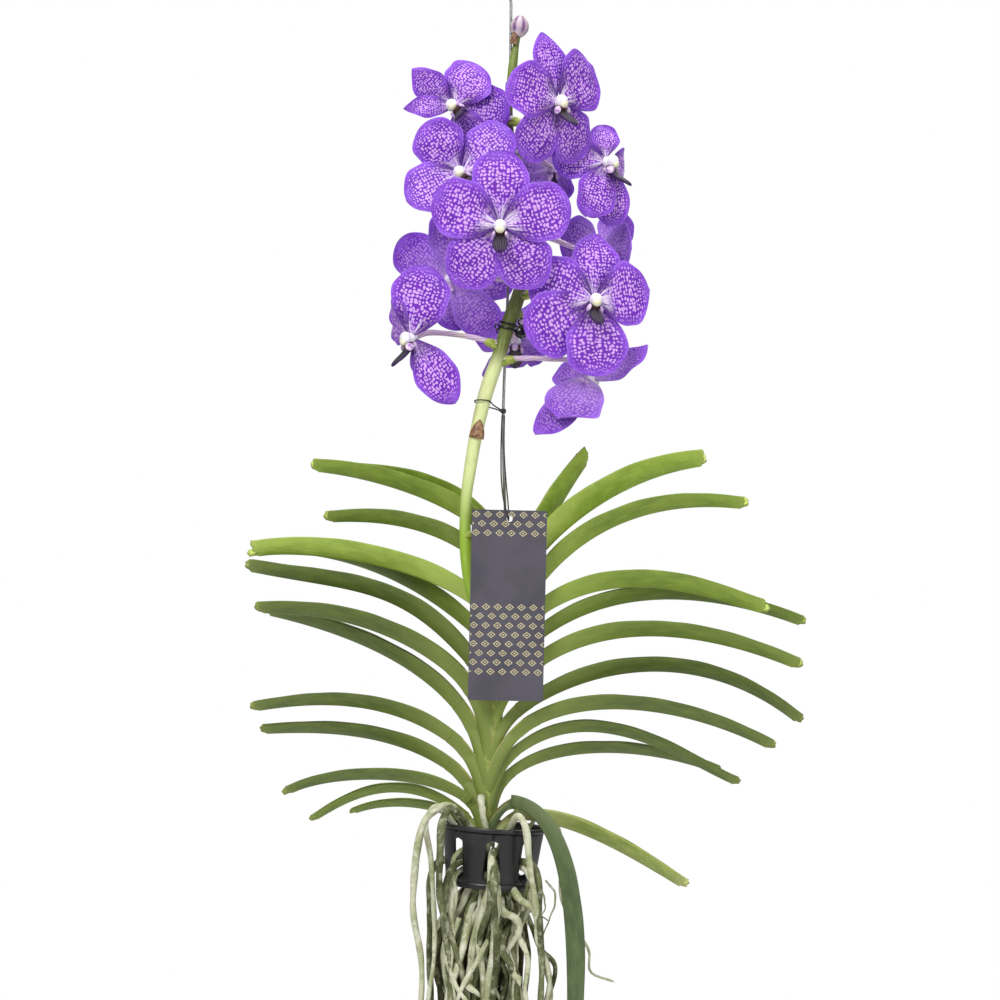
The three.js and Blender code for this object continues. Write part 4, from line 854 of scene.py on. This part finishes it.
def tag():
    curve = bpy.data.curves.new("tag_outline", "CURVE")
    curve.dimensions = "2D"
    curve.fill_mode = "BOTH"
    curve.extrude = 0.38 * MM
    curve.bevel_depth = 0.02 * MM
    arc = lambda centre, radius, turn: np.stack([np.cos(turn), np.sin(turn)], 1) * radius + centre
    corner, quarter = 1.2, math.pi / 2
    side, top, foot = TAG_WIDTH / 2 - corner, -corner, corner - TAG_HEIGHT
    corners = (side, top), (-side, top), (-side, foot), (side, foot)
    turn = np.linspace(0, quarter, 7)
    add_line(curve, np.vstack([arc(at, corner, turn + k * quarter) for k, at in enumerate(corners)]), True)
    add_line(curve, arc((0, -6), 2.2, circle(40)), True)
    holder = put("tag_outline", curve)
    mesh = bpy.data.meshes.new_from_object(holder.evaluated_get(bpy.context.evaluated_depsgraph_get()))
    bpy.data.objects.remove(holder)
    flat = np.zeros(len(mesh.vertices) * 3)
    mesh.vertices.foreach_get("co", flat)
    x, y, z = flat.reshape(-1, 3).T / MM
    mesh.vertices.foreach_set("co", leaned(np.stack([x, -z - 0.4, y], 1), TAG_LEAN, TAG_TOP).ravel() * MM)
    mesh.name = "look_tag"
    mesh.materials.clear()
    mesh.materials.append(tag_finish())
    mesh.update()
    dress("look_tag", mesh, ["tag"])


# Leaves and stem


def leaf_path(leaf):
    """A function that gives points and directions at places along the keel, and the keel's length."""
    _, start, launch, rise, end, arrive, ease, _, _, _, spread = leaf
    start, end = vec(*start), vec(*end)
    side = np.sign(end[0] - start[0])
    chord = np.linalg.norm(end - start)
    slope = lambda angle: vec(side * math.cos(math.radians(angle)), 0, math.sin(math.radians(angle)))
    first, second = start + slope(launch) * rise * chord, end - slope(arrive) * ease * chord
    first[1] = mix(start[1], end[1], spread)
    second[1] = mix(start[1], end[1], max(spread, 0.7))
    t = np.linspace(0, 1, 300)[:, None]
    line = (1 - t) ** 3 * start + 3 * (1 - t) ** 2 * t * first + 3 * (1 - t) * t**2 * second + t**3 * end
    slopes = 3 * (1 - t) ** 2 * (first - start) + 6 * (1 - t) * t * (second - first)
    slopes += 3 * t**2 * (end - second)
    at = lengths(line)
    read = lambda values, where: np.stack([np.interp(where, at / at[-1], column) for column in values.T], -1)

    def station(where):
        along = unit(read(slopes, where))
        up = np.stack([-side * along[:, 2], 0 * where, side * along[:, 0]], -1)
        up = unit(up - along * np.sum(up * along, -1, keepdims=True))
        return read(line, where), along, up, np.cross(up, along) * side

    return station, at[-1]


def leaf_section(leaf, t, w):
    """Outer and inner points of the folded blade at places t (rows) and across w (columns, -1 to 1)."""
    station, long = leaf_path(leaf)
    half_width, roll = leaf[7:9]
    keel, along, up, front = (a[:, None] for a in station(t))
    t = t[:, None]
    half = half_width * mix(0.62, 1, smooth(t / 0.45)) * mix(1, 0.75, smooth((t - 0.45) / 0.55) ** 1.6)
    half = half[..., None]
    fold = mix(80, 45, smooth(2 * t))
    sign, away = np.sign(w), np.abs(w)[:, None]
    angle = np.radians(fold - np.where(sign >= 0, 1, -1) * roll * smooth(t))[..., None]
    sign = sign[:, None]
    rib = front * sign * np.cos(angle) + up * np.sin(angle)
    inward = -front * sign * np.sin(angle) + up * np.cos(angle)
    belly = 0.05 * half * np.sin(math.pi * away)
    ripple = 0.14 * away**2 * np.sin(0.07 * long * t[..., None] * 3 + sign * 2.1 + half_width)
    outer = keel + rib * away * half - inward * belly + inward * ripple
    bottom = keel + up * np.minimum(1.4 / np.cos(np.radians(fold))[..., None], 0.5 * half)
    margin = keel + rib * half + inward * 0.55
    inner = bottom + (margin - bottom) * away - inward * belly * 0.75 + inward * ripple
    return outer, inner, along, long


def leaf_blade(leaf, finishes):
    """The blade, with the two uneven lobes of its bitten tip, which differ from leaf to leaf."""
    name, start = leaf[0], leaf[9]
    t = mix(start - 0.012, 1, 1 - (1 - np.linspace(0, 1, BLADE_ROWS)) ** 1.2)
    w = np.linspace(-1, 1, BLADE_COLUMNS)
    outer, inner, along, long = leaf_section(leaf, t, w)
    near_tip = np.clip((t - (1 - TIP_LONG / long)) * long / TIP_LONG, 0, 1)[:, None]
    seed = sum(ord(c) * (i + 3) for i, c in enumerate(name)) * 0.37
    reach = np.where(w >= 0, 0.9, -2.1) - 1.2 * (0.5 + 0.5 * math.sin(seed))
    lobe = smooth(np.abs(w) / 0.42) - 0.3 * smooth((np.abs(w) - 0.74) / 0.26)
    ragged = 0.4 * np.sin(17 * w + seed) + 0.3 * np.sin(41 * w + 2 * seed) - 0.6
    shift = along * (near_tip**1.7 * (-5 + (reach + 5) * lobe + ragged))[..., None]
    shape = Shape()
    shape.grid(outer + shift, inner + shift, sheet_places(0.5 + 0.5 * w, (t - start) / (1 - start)), (0, 1))
    shape.build("look_leaf_" + name, finishes, ["leaf_" + name])


def stem(core, sheaths):
    """The core and the sheaths, which carry the blades down to the middle of the stem's front."""
    shape = Shape()
    axis = even(STEM_AXIS, 10, 3)
    shape.tube(axis, np.linspace(CORE_LOW, CORE_HIGH, len(axis)), 20, uv_scale=0.03)
    w = np.linspace(-1, 1, 33)
    turn = np.radians(SHEATH_WRAP) * w
    q = np.linspace(0, 1, 26)
    rows = q[:, None, None]
    for leaf in LEAVES:
        name, start, t0 = leaf[0], leaf[1], leaf[9]
        outer, inner, along, long = leaf_section(leaf, np.array([t0 + 0.004, t0 + 0.03]), w)
        top = outer[1] - unit(inner[1] - outer[1]) * 0.12
        low = start[2] - SHEATH_DROP
        centre = at_height(STEM_AXIS, low)
        radius = np.interp(low, [STEM_AXIS[0][2], STEM_AXIS[-1][2]], [CORE_LOW, CORE_HIGH]) - 0.4
        side = -1 if name.startswith("left") else 1
        ring = np.stack([side * np.cos(turn), -np.sin(turn), 0 * turn], 1)
        stem_way = unit(at_height(STEM_AXIS, low + 12) - at_height(STEM_AXIS, low - 2))
        reach = np.linalg.norm(top.mean(0) - centre)
        leave = (stem_way * 0.95 + ring * 0.13) * reach * 1.25
        front = cubic(rows, centre + ring * radius, leave, top, along[1, 0] * reach * 0.9)
        normal = unit(np.cross(np.gradient(front, axis=1), np.gradient(front, axis=0)))
        normal = normal * np.sign(np.sum(normal * (front - (centre + rows * 20 * stem_way)), -1).mean())
        uv = sheet_places(0.5 + 0.5 * w, mix(-reach / long, 0.03, q) / (1 - t0))
        slot = 1 + LEAF_AGES.index(AGE[name])
        shape.grid(front, front - normal * mix(0.9, 0.15, smooth(rows)), uv, (slot, slot))
    shape.build("look_stem", [core, *sheaths], ["stem"])


# Flowers


def bloom_frame(yaw, pitch, roll):
    yaw, pitch, roll = np.radians([yaw, pitch, roll])
    face = vec(math.cos(pitch) * math.sin(yaw), -math.cos(pitch) * math.cos(yaw), math.sin(pitch))
    level = unit((0, 0, 1) - face * face[2])
    across = np.cross(level, face)
    up = level * math.cos(roll) + across * math.sin(roll)
    right = across * math.cos(roll) - level * math.sin(roll)
    return face, up, right


def tepal(shape, centre, tip, facing, width, lift, claw, index, seed, pointed, waved):
    """A netted blade that is narrow at its claw, grooved along the middle and waved towards its margin."""
    reach = np.linalg.norm(tip)
    along = tip / reach
    face = unit(facing - along * facing.dot(along))
    across = np.cross(along, face)
    phase, number = index * 1.3, index + seed
    s = (1 - (1 - np.linspace(0, 1, TEPAL_ROWS)) ** 1.7)[:, None]
    j = np.sin(np.linspace(-1, 1, TEPAL_COLUMNS) * math.pi / 2 * 0.94)[None] / math.sin(math.pi / 2 * 0.94)
    side, away = np.sign(j), np.abs(j)
    x = np.clip((s - 0.58) / 0.42, 0, 1)
    end = mix(np.sqrt(np.maximum(0, 1 - x**2.7)), 1 - x**1.7, pointed)
    half = 0.5 * width * mix(0.13, 1, np.sin(0.5 * math.pi * np.minimum(1, s / 0.56)) ** claw) * end
    half = half * (1 + s * (0.055 * np.sin(2.4 * number + 15 * s + 1.7 * side) - 0.02) * away)
    half[-1] = 0.25
    arch = lift + 3.2 * np.sin(math.pi * s) - mix(0.9, 1.5, away) * s
    wave = 1.1 * np.sin(phase + 5 * s + 2 * side) * s * away**1.5
    ruffle = waved * np.sin(phase * 3 + number + 11 * s + 3 * j) * s * away**2.2
    quilt = 0.25 * np.sin(number + 9 * s + 4 * j) * np.sin(math.pi * s)
    groove = -0.6 * np.exp(-((j / 0.1) ** 2)) * np.sin(math.pi * np.clip(s * 1.1, 0, 1))
    front = (centre + along * mix(2.4, reach - 0.3, s)[..., None] + across * (half * j)[..., None]
             + face * (arch + wave + ruffle + quilt + groove)[..., None])
    back = front - face * (mix(0.95, 0.3, away**3) + 0 * s)[..., None]
    shape.grid(front, back, sheet_places(number + 0.5 + 0.49 * j[0], s[:, 0]), (0, 1))


def bloom(name, finishes):
    at, yaw, pitch, roll, size, own = BLOOMS[name]
    centre = vec(*at)
    face, up, right = bloom_frame(yaw, pitch, roll)
    spot = lambda forward, rise, aside=0.0: centre + face * forward + up * rise + right * aside
    shape = Shape()
    for index, (key, (angle, reach, width, lean, lift, claw)) in enumerate(TEPALS.items()):
        tip, own_width, facing, own_claw = (*own.get(key, ()), None, None, None, None)[:4]
        if tip is None:
            angle, lean = math.radians(angle), math.radians(lean)
            way = up * math.cos(angle) + right * math.sin(angle)
            tip = (way * math.cos(lean) - face * math.sin(lean)) * reach * size
        facing = face if facing is None else vec(*facing)
        tepal(shape, centre, vec(*tip), facing, own_width or width * size, lift, own_claw or claw, index,
              5 * int(name), POINTED.get((name, key), USUAL_POINT), WAVED.get(name, USUAL_WAVE))
    # the column: a short neck, its white swollen head, the cream cap over the pollen and the throat
    shape.tube([spot(-4, 0), spot(-2, 0), spot(0, 0), spot(3, 0)], [2.0, 2.8, 3.6, 3.8], 18, 2)
    shape.blob(spot(4.6, 0.6), [right * 4.4, up * 4.5, face * 4.4], 2, 16, 26)
    shape.blob(spot(7.2, -1.4), [right * 3.2, up * 2.9, face * 2.5], 3, 12, 20)
    shape.blob(spot(3.6, -4.6), [right * 4.2, up * 2.6, face * 3.0], 4, 12, 20)
    # side lobes of the lip, then its ridged middle lobe and the spur behind
    for sign in (-1, 1):
        lobe = [right * 1.2 + up * 0.5 * sign, up * 2.7 - right * sign * 0.8, face * 3.1]
        shape.blob(spot(5.4, -5.6, sign * 4.5), lobe, 5, 12, 16)
    forward, rise, wide, thick = spline(LIP_ROUTE, 6).T[..., None]
    turn = circle(28)
    thick_way = unit(up * 0.85 + face * 0.5)
    rings = (spot(forward, rise)[:, None] + right * (wide * np.cos(turn))[..., None]
             + thick_way * (thick * np.sin(turn) * (1 + 0.14 * np.cos(7 * turn)))[..., None])
    shape.loft(rings, np.linspace(0, 1, len(rings)), 6, folded=True)
    shape.tube([spot(2, -5.5), spot(-2, -5.5), spot(-5, -7.4), spot(-7, -9.4)], [2.4, 2.2, 1.5, 0.8], 14, 5)
    shape.build("look_bloom_" + name, finishes, ["bloom_" + name])


def bract(shape, base, way, out, size, slot):
    """A small pointed scale that clasps a stalk."""
    way, out = unit(vec(*way)), unit(vec(*out))
    side = unit(np.cross(way, out))
    out = np.cross(side, way)
    q, w = np.linspace(0, 1, 12), np.linspace(-1, 1, 11)
    turn, rows = w * 1.25, q[:, None]
    spread = size[1] * (1 - rows**2.2) * 0.5 + 0.15
    front = (base + way * (rows * size[0])[..., None] + side * (spread * np.sin(turn))[..., None]
             + out * (spread * (np.cos(turn) - 0.25) + 0.9 * rows)[..., None])
    shape.grid(front, front - out * 0.35, sheet_places(0.5 + 0.5 * w, q), (slot, slot))


def flower_spike():
    shape = Shape()
    line = even(SPIKE_ROUTE, 10, 2.0)
    shape.tube(line, line[:, 3] * (1 + 0.035 * np.sin(lengths(line) * 0.11)), 24)
    ribs = lambda along, turn: 1 + 0.1 * np.cos(6 * turn + along * 0.22)
    up = vec(0, 0, 1)
    for name, (at, yaw, pitch, roll, _, _) in BLOOMS.items():
        *start, thick = at_height(SPIKE_ROUTE, PEDICEL_HEIGHTS[name])
        end = at - bloom_frame(yaw, pitch, roll)[0] * 4.1
        before = end - bloom_frame(yaw, pitch, roll)[0] * 9
        middle = PEDICEL_BENDS.get(name, mix(vec(*start), before, 0.45) + up * 2)
        stalk = even([start, middle, before, end], 14, 1.4)
        s = np.linspace(0, 1, len(stalk))
        radius = mix(2.7, 1.8, smooth(s / 0.22)) + 0.5 * smooth((s - 0.72) / 0.28)
        shape.tube(stalk, radius, 18, 1, rib=ribs)
        # the swollen green foot of the stalk, in its scale
        way = unit(stalk[6] - stalk[0])
        side = unit(np.cross(way, up))
        foot = start + way * (thick + 3.0) - up * 0.6
        shape.blob(foot, [side * 3.0, np.cross(side, way) * 3.1, way * 5.6], 4)
        base = start + way * thick * 0.6 - up * 2.4
        bract(shape, base, way * 0.8 + up * 0.15, way * 0.3 - up, (9.5, 6.6), 4)
    # the papery bracts low on the stem
    for z, out, size, slot in ((-357, (0.2, -1, 0), (14, 11), 2), (-426, (0.7, -0.7, 0), (5, 7), 4)):
        *base, thick = at_height(SPIKE_ROUTE, z)
        bract(shape, base + unit(vec(*out)) * (thick * 0.5), (0.2, 0, 1), out, size, slot)
    # the last bud, its bract and the green end of the stem
    s = np.linspace(0, 1, 26)
    body = 6.5 * np.sqrt(np.maximum(0.03, np.sin(math.pi * mix(0.05, 0.97, s))))
    bud = np.linspace((4.7, -5.8, -76.6), (6.8, -5.8, -62), 26)
    shape.tube(bud, body, 28, 3, rib=lambda along, turn: 1 + 0.05 * np.cos(3 * turn))
    bract(shape, (2.2, -8, -82), (0.1, -0.1, 1), (-0.8, -0.6, 0), (10, 7), 2)
    finishes = [
        stalk_finish(), pedicel_finish(), plain_plant("bract_brown", (176, 140, 102), (116, 74, 50), 300.0),
        bud_finish(), plain_plant("bract_green", (176, 190, 84), (136, 154, 56), 260.0),
    ]
    shape.build("look_flower_spike", finishes, ["flower_spike"])


# Roots


def stream(seed):
    while True:
        seed = seed * 16807 % 2147483647
        yield seed / 2147483647


def tangle(count, seed, spread, shortest, longest, radius):
    """Roots that spread from the crown, pass the pot's floor and hang loosely all round."""
    numbers = stream(seed)
    draw = lambda: next(numbers)
    strands = []
    for k in range(count):
        turn = 2 * math.pi * (k + 0.6 * draw()) / count
        long = mix(shortest, longest, draw())
        out = spread * mix(0.35, 1, draw())
        thick = radius * mix(0.7, 1.1, draw())
        stations = [(11, -662, 0), (20, -678, 0), (out, -678 - 0.3 * long, 1),
                    (out, -678 - 0.6 * long, 1), (0.8 * out, -678 - long, 1)]
        route = []
        for distance, z, loose in stations:
            x = mix(POT_CENTRE[0], -21, loose) + math.cos(turn) * distance + 9 * loose * (draw() - 0.5)
            y = math.sin(turn) * distance + 9 * loose * (draw() - 0.5)
            route.append([x, y, z])
        strands.append((thick, route))
    return strands


def core_strands(rng):
    """The close bundle that hangs straight down from the crown, in the dark tone, which is partly painted
    shade inside the mass.
    """
    strands = []
    for _ in range(CORE_STRANDS):
        turn, out = rng.uniform(0, 2 * math.pi), rng.uniform(3, 13)
        foot = rng.uniform(-905, -770)
        drift = rng.uniform(-9, 7)
        x, y = math.cos(turn), math.sin(turn)
        strands.append((rng.uniform(1.3, 2.4), [
            [-14 + 6 * x, 6 * y, -650], [-13 + out * x, out * y, -684],
            [-18 + 1.5 * out * x, 1.5 * out * y, -720],
            [-19 + drift + 1.7 * out * x, 1.6 * out * y, 0.5 * (foot - 720)],
            [-19 + drift + 1.5 * out * x, 1.4 * out * y, foot]], 1.6, 2))
    return strands


def outer_strands(rng):
    """Roots that come out through the front slots or from under the floor's edge and hang before the rest."""
    strands = []
    for k in range(OUTER_STRANDS):
        if k < SLOT_STRANDS:
            turn = math.radians((225, 270, 315)[k % 3] + rng.uniform(-5, 5))
            z = rng.uniform(-660, -644)
            stations = [(22, z + 4), (33, z + 1), (36.5, z - 3), (37.5, z - 14)]
        else:
            turn = math.radians(rng.uniform(165, 375))
            stations = [(12, -660), (21, -672), (rng.uniform(24, 31), -680)]
        foot = rng.uniform(-900, -730)
        low, end = rng.uniform(26, 35), rng.uniform(20, 32)
        stations += [(low, -704), (low, 0.5 * (foot - 704)), (end, foot)]
        twist = rng.uniform(-0.25, 0.25)
        route = []
        for out, z in stations:
            hangs = z < -700
            way = turn + twist * hangs
            route.append([POT_CENTRE[0] + out * math.cos(way) - 7 * hangs, out * math.sin(way), z])
        strands.append((rng.uniform(1.2, 2.7), route, 2.0, int(rng.choice(3, p=(0.5, 0.38, 0.12)))))
    return strands


def rootlets(rng):
    """Thin side roots that curl away from the mass."""
    strands = []
    for _ in range(ROOTLETS):
        turn, out = rng.uniform(0, 2 * math.pi), rng.uniform(14, 34)
        at = vec(-18 + out * math.cos(turn), 0.8 * out * math.sin(turn), rng.uniform(-880, -680))
        way = unit(vec(rng.uniform(-1, 1), rng.uniform(-0.8, 0.8), rng.uniform(-1.6, 0.1)))
        bend = vec(rng.uniform(-1, 1), rng.uniform(-1, 1), -0.6)
        long = rng.uniform(9, 26)
        route = [at + (way * ahead + bend * aside) * long for ahead, aside in
                 ((0, 0), (0.35, 0), (0.6, 0.15), (0.75, 0.4))]
        strands.append((rng.uniform(0.5, 1.2), route, 0.5, int(rng.choice(3))))
    return strands


def roots():
    """All roots. A strand is its radius, its route, how loosely it waves and its tone."""
    rng = np.random.default_rng(ROOT_SEED)
    strands = [(r, route, 1.0, k % 2) for k, (r, route) in enumerate(ROOTS)]
    strands += [(r, route, 0.5, 0) for r, route in FRONT_ROOTS]
    for degrees in SLOT_TURNS:
        x, y = math.cos(math.radians(degrees)), math.sin(math.radians(degrees))
        fall = 0.25 * (degrees - SLOT_TURNS[0])
        route = [[POT_CENTRE[0] + out * x, out * y, z - fall * (z < -700)] for out, z in SLOT_ROUTE]
        strands.append((2.6, route, 1.4, 1))
    for loose, bundle in TANGLES:
        strands += [(*strand, loose, int(rng.choice(3, p=(0.42, 0.34, 0.24)))) for strand in tangle(*bundle)]
    strands += core_strands(rng) + outer_strands(rng) + rootlets(rng)
    shape = Shape()
    for radius, route, loose, tone in strands:
        line = even(route, 8, 2.4 if radius > 1 else 1.8)
        s = np.linspace(0, 1, len(line))
        phase = rng.uniform(0, 6.28, 6)
        far = smooth(s * 4) * loose
        line[:, 0] += far * (1.1 * np.sin(9 * s + phase[0]) + 0.5 * np.sin(23 * s + phase[1]))
        line[:, 1] += far * (1.1 * np.sin(8 * s + phase[2]) + 0.5 * np.sin(19 * s + phase[3]))
        line[:, 2] = np.maximum(line[:, 2], ROOT_FLOOR)
        lumps = 1 + 0.08 * np.sin(31 * s + phase[4]) + 0.06 * np.sin(67 * s + phase[5])
        grow = radius * mix(1, 0.62, smooth(s)) * lumps
        tail = np.sqrt(np.clip((1 - s) * lengths(line)[-1] / 3.0, 0, 1))
        shape.tube(line, grow * np.maximum(tail, 0.25), 9 if radius > 1.2 else 6, tone, offset=phase[0] * 50)
    crown = spline([[-15, 0, -646], [-14, 0, -656], [-13, 1, -672], [-12, 1, -684]], 8)
    lumps = lambda along, turn: 1 + 0.2 * np.cos(9 * turn + along * 0.1) + 0.08 * np.cos(17 * turn)
    shape.tube(crown, 10, 48, 2, rib=lumps)
    shape.build("look_roots", [root_finish(*tone) for tone in ROOT_TONES], ["roots"])


# Assembly

cord = cord_finish()
tag_cord(cord)
tag()
wire()
pot()
clip()
tie(cord)
roots()
flower_spike()

leaf_finishes = [
    [leaf_finish(f"leaf_{face}_{age}", *colours, face == "outer")
     for face, colours in zip(("outer", "inner"), LEAF_COLOURS[age])] for age in LEAF_AGES
]
core = plain_plant("stem_core", (166, 176, 88), (126, 138, 60))
stem(core, [outer for outer, inner in leaf_finishes])
for leaf in LEAVES:
    leaf_blade(leaf, leaf_finishes[LEAF_AGES.index(AGE[leaf[0]])])

bloom_finishes = [
    tepal_finish("tepal_front"), tepal_finish("tepal_back", True),
    plain_plant("column_white", (252, 250, 252), (236, 226, 244), 300.0, (0.35, 0.5), 0.1),
    plain_plant("anther_cap", (250, 248, 222), (232, 226, 188), 400.0, (0.35, 0.5), 0.1),
    plain_plant("throat_brown", (78, 34, 26), (38, 12, 14), 500.0),
    plain_plant("side_lobes", (244, 222, 244), (170, 120, 200), 420.0, (0.4, 0.55), 0.15), lip_finish(),
]
for bloom_name in BLOOMS:
    bloom(bloom_name, bloom_finishes)

# Plain pale floor and soft studio light

FLOOR_Z, FLOOR_RADIUS, FLOOR_SIDES = -0.93, 1.15, 96
floor_mesh = bpy.data.meshes.new("floor")
floor_edge = [(FLOOR_RADIUS * math.cos(a), FLOOR_RADIUS * math.sin(a), FLOOR_Z) for a in circle(FLOOR_SIDES)]
floor_mesh.from_pydata(floor_edge, [], [list(range(FLOOR_SIDES))])
floor_mesh.materials.append(Finish("floor_pale").set(Base_Color=srgb(238, 238, 238), Roughness=0.8))
floor = put("floor", floor_mesh)

# The plant is lit by a dim white sky, and the camera sees a bright one behind it.
SKY, SKY_SEEN = 0.34, 1.0
world = bpy.data.worlds.new("studio")
world.use_nodes = True
bpy.context.scene.world = world
nodes, links = world.node_tree.nodes, world.node_tree.links
pick = nodes.new("ShaderNodeMixShader")
links.new(nodes.new("ShaderNodeLightPath").outputs["Is Camera Ray"], pick.inputs[0])
seen = nodes.new("ShaderNodeBackground")
for socket, sky, strength in ((1, nodes["Background"], SKY), (2, seen, SKY_SEEN)):
    sky.inputs["Color"].default_value = (1, 1, 1, 1)
    sky.inputs["Strength"].default_value = strength
    links.new(sky.outputs[0], pick.inputs[socket])
links.new(pick.outputs[0], nodes["World Output"].inputs[0])

LAMPS = {  # place, size and power
    "key": ((-0.8, -1.8, 0.9), 0.9, 30), "fill": ((1.3, -1.7, 0.0), 1.2, 10),
    "top": ((0.1, -0.2, 1.3), 1.0, 22), "back": ((0.5, 1.7, 0.4), 1.2, 10),
}
LAMPS_AIM = Vector((0, 0, -0.4))
for label, (place, size, power) in LAMPS.items():
    light = bpy.data.lights.new(label, "AREA")
    light.size = size
    light.energy = power
    lamp = put(label, light)
    lamp.location = place
    lamp.rotation_euler = (LAMPS_AIM - lamp.location).to_track_quat("-Z", "Y").to_euler()

bpy.context.scene.view_settings.view_transform = "Standard"
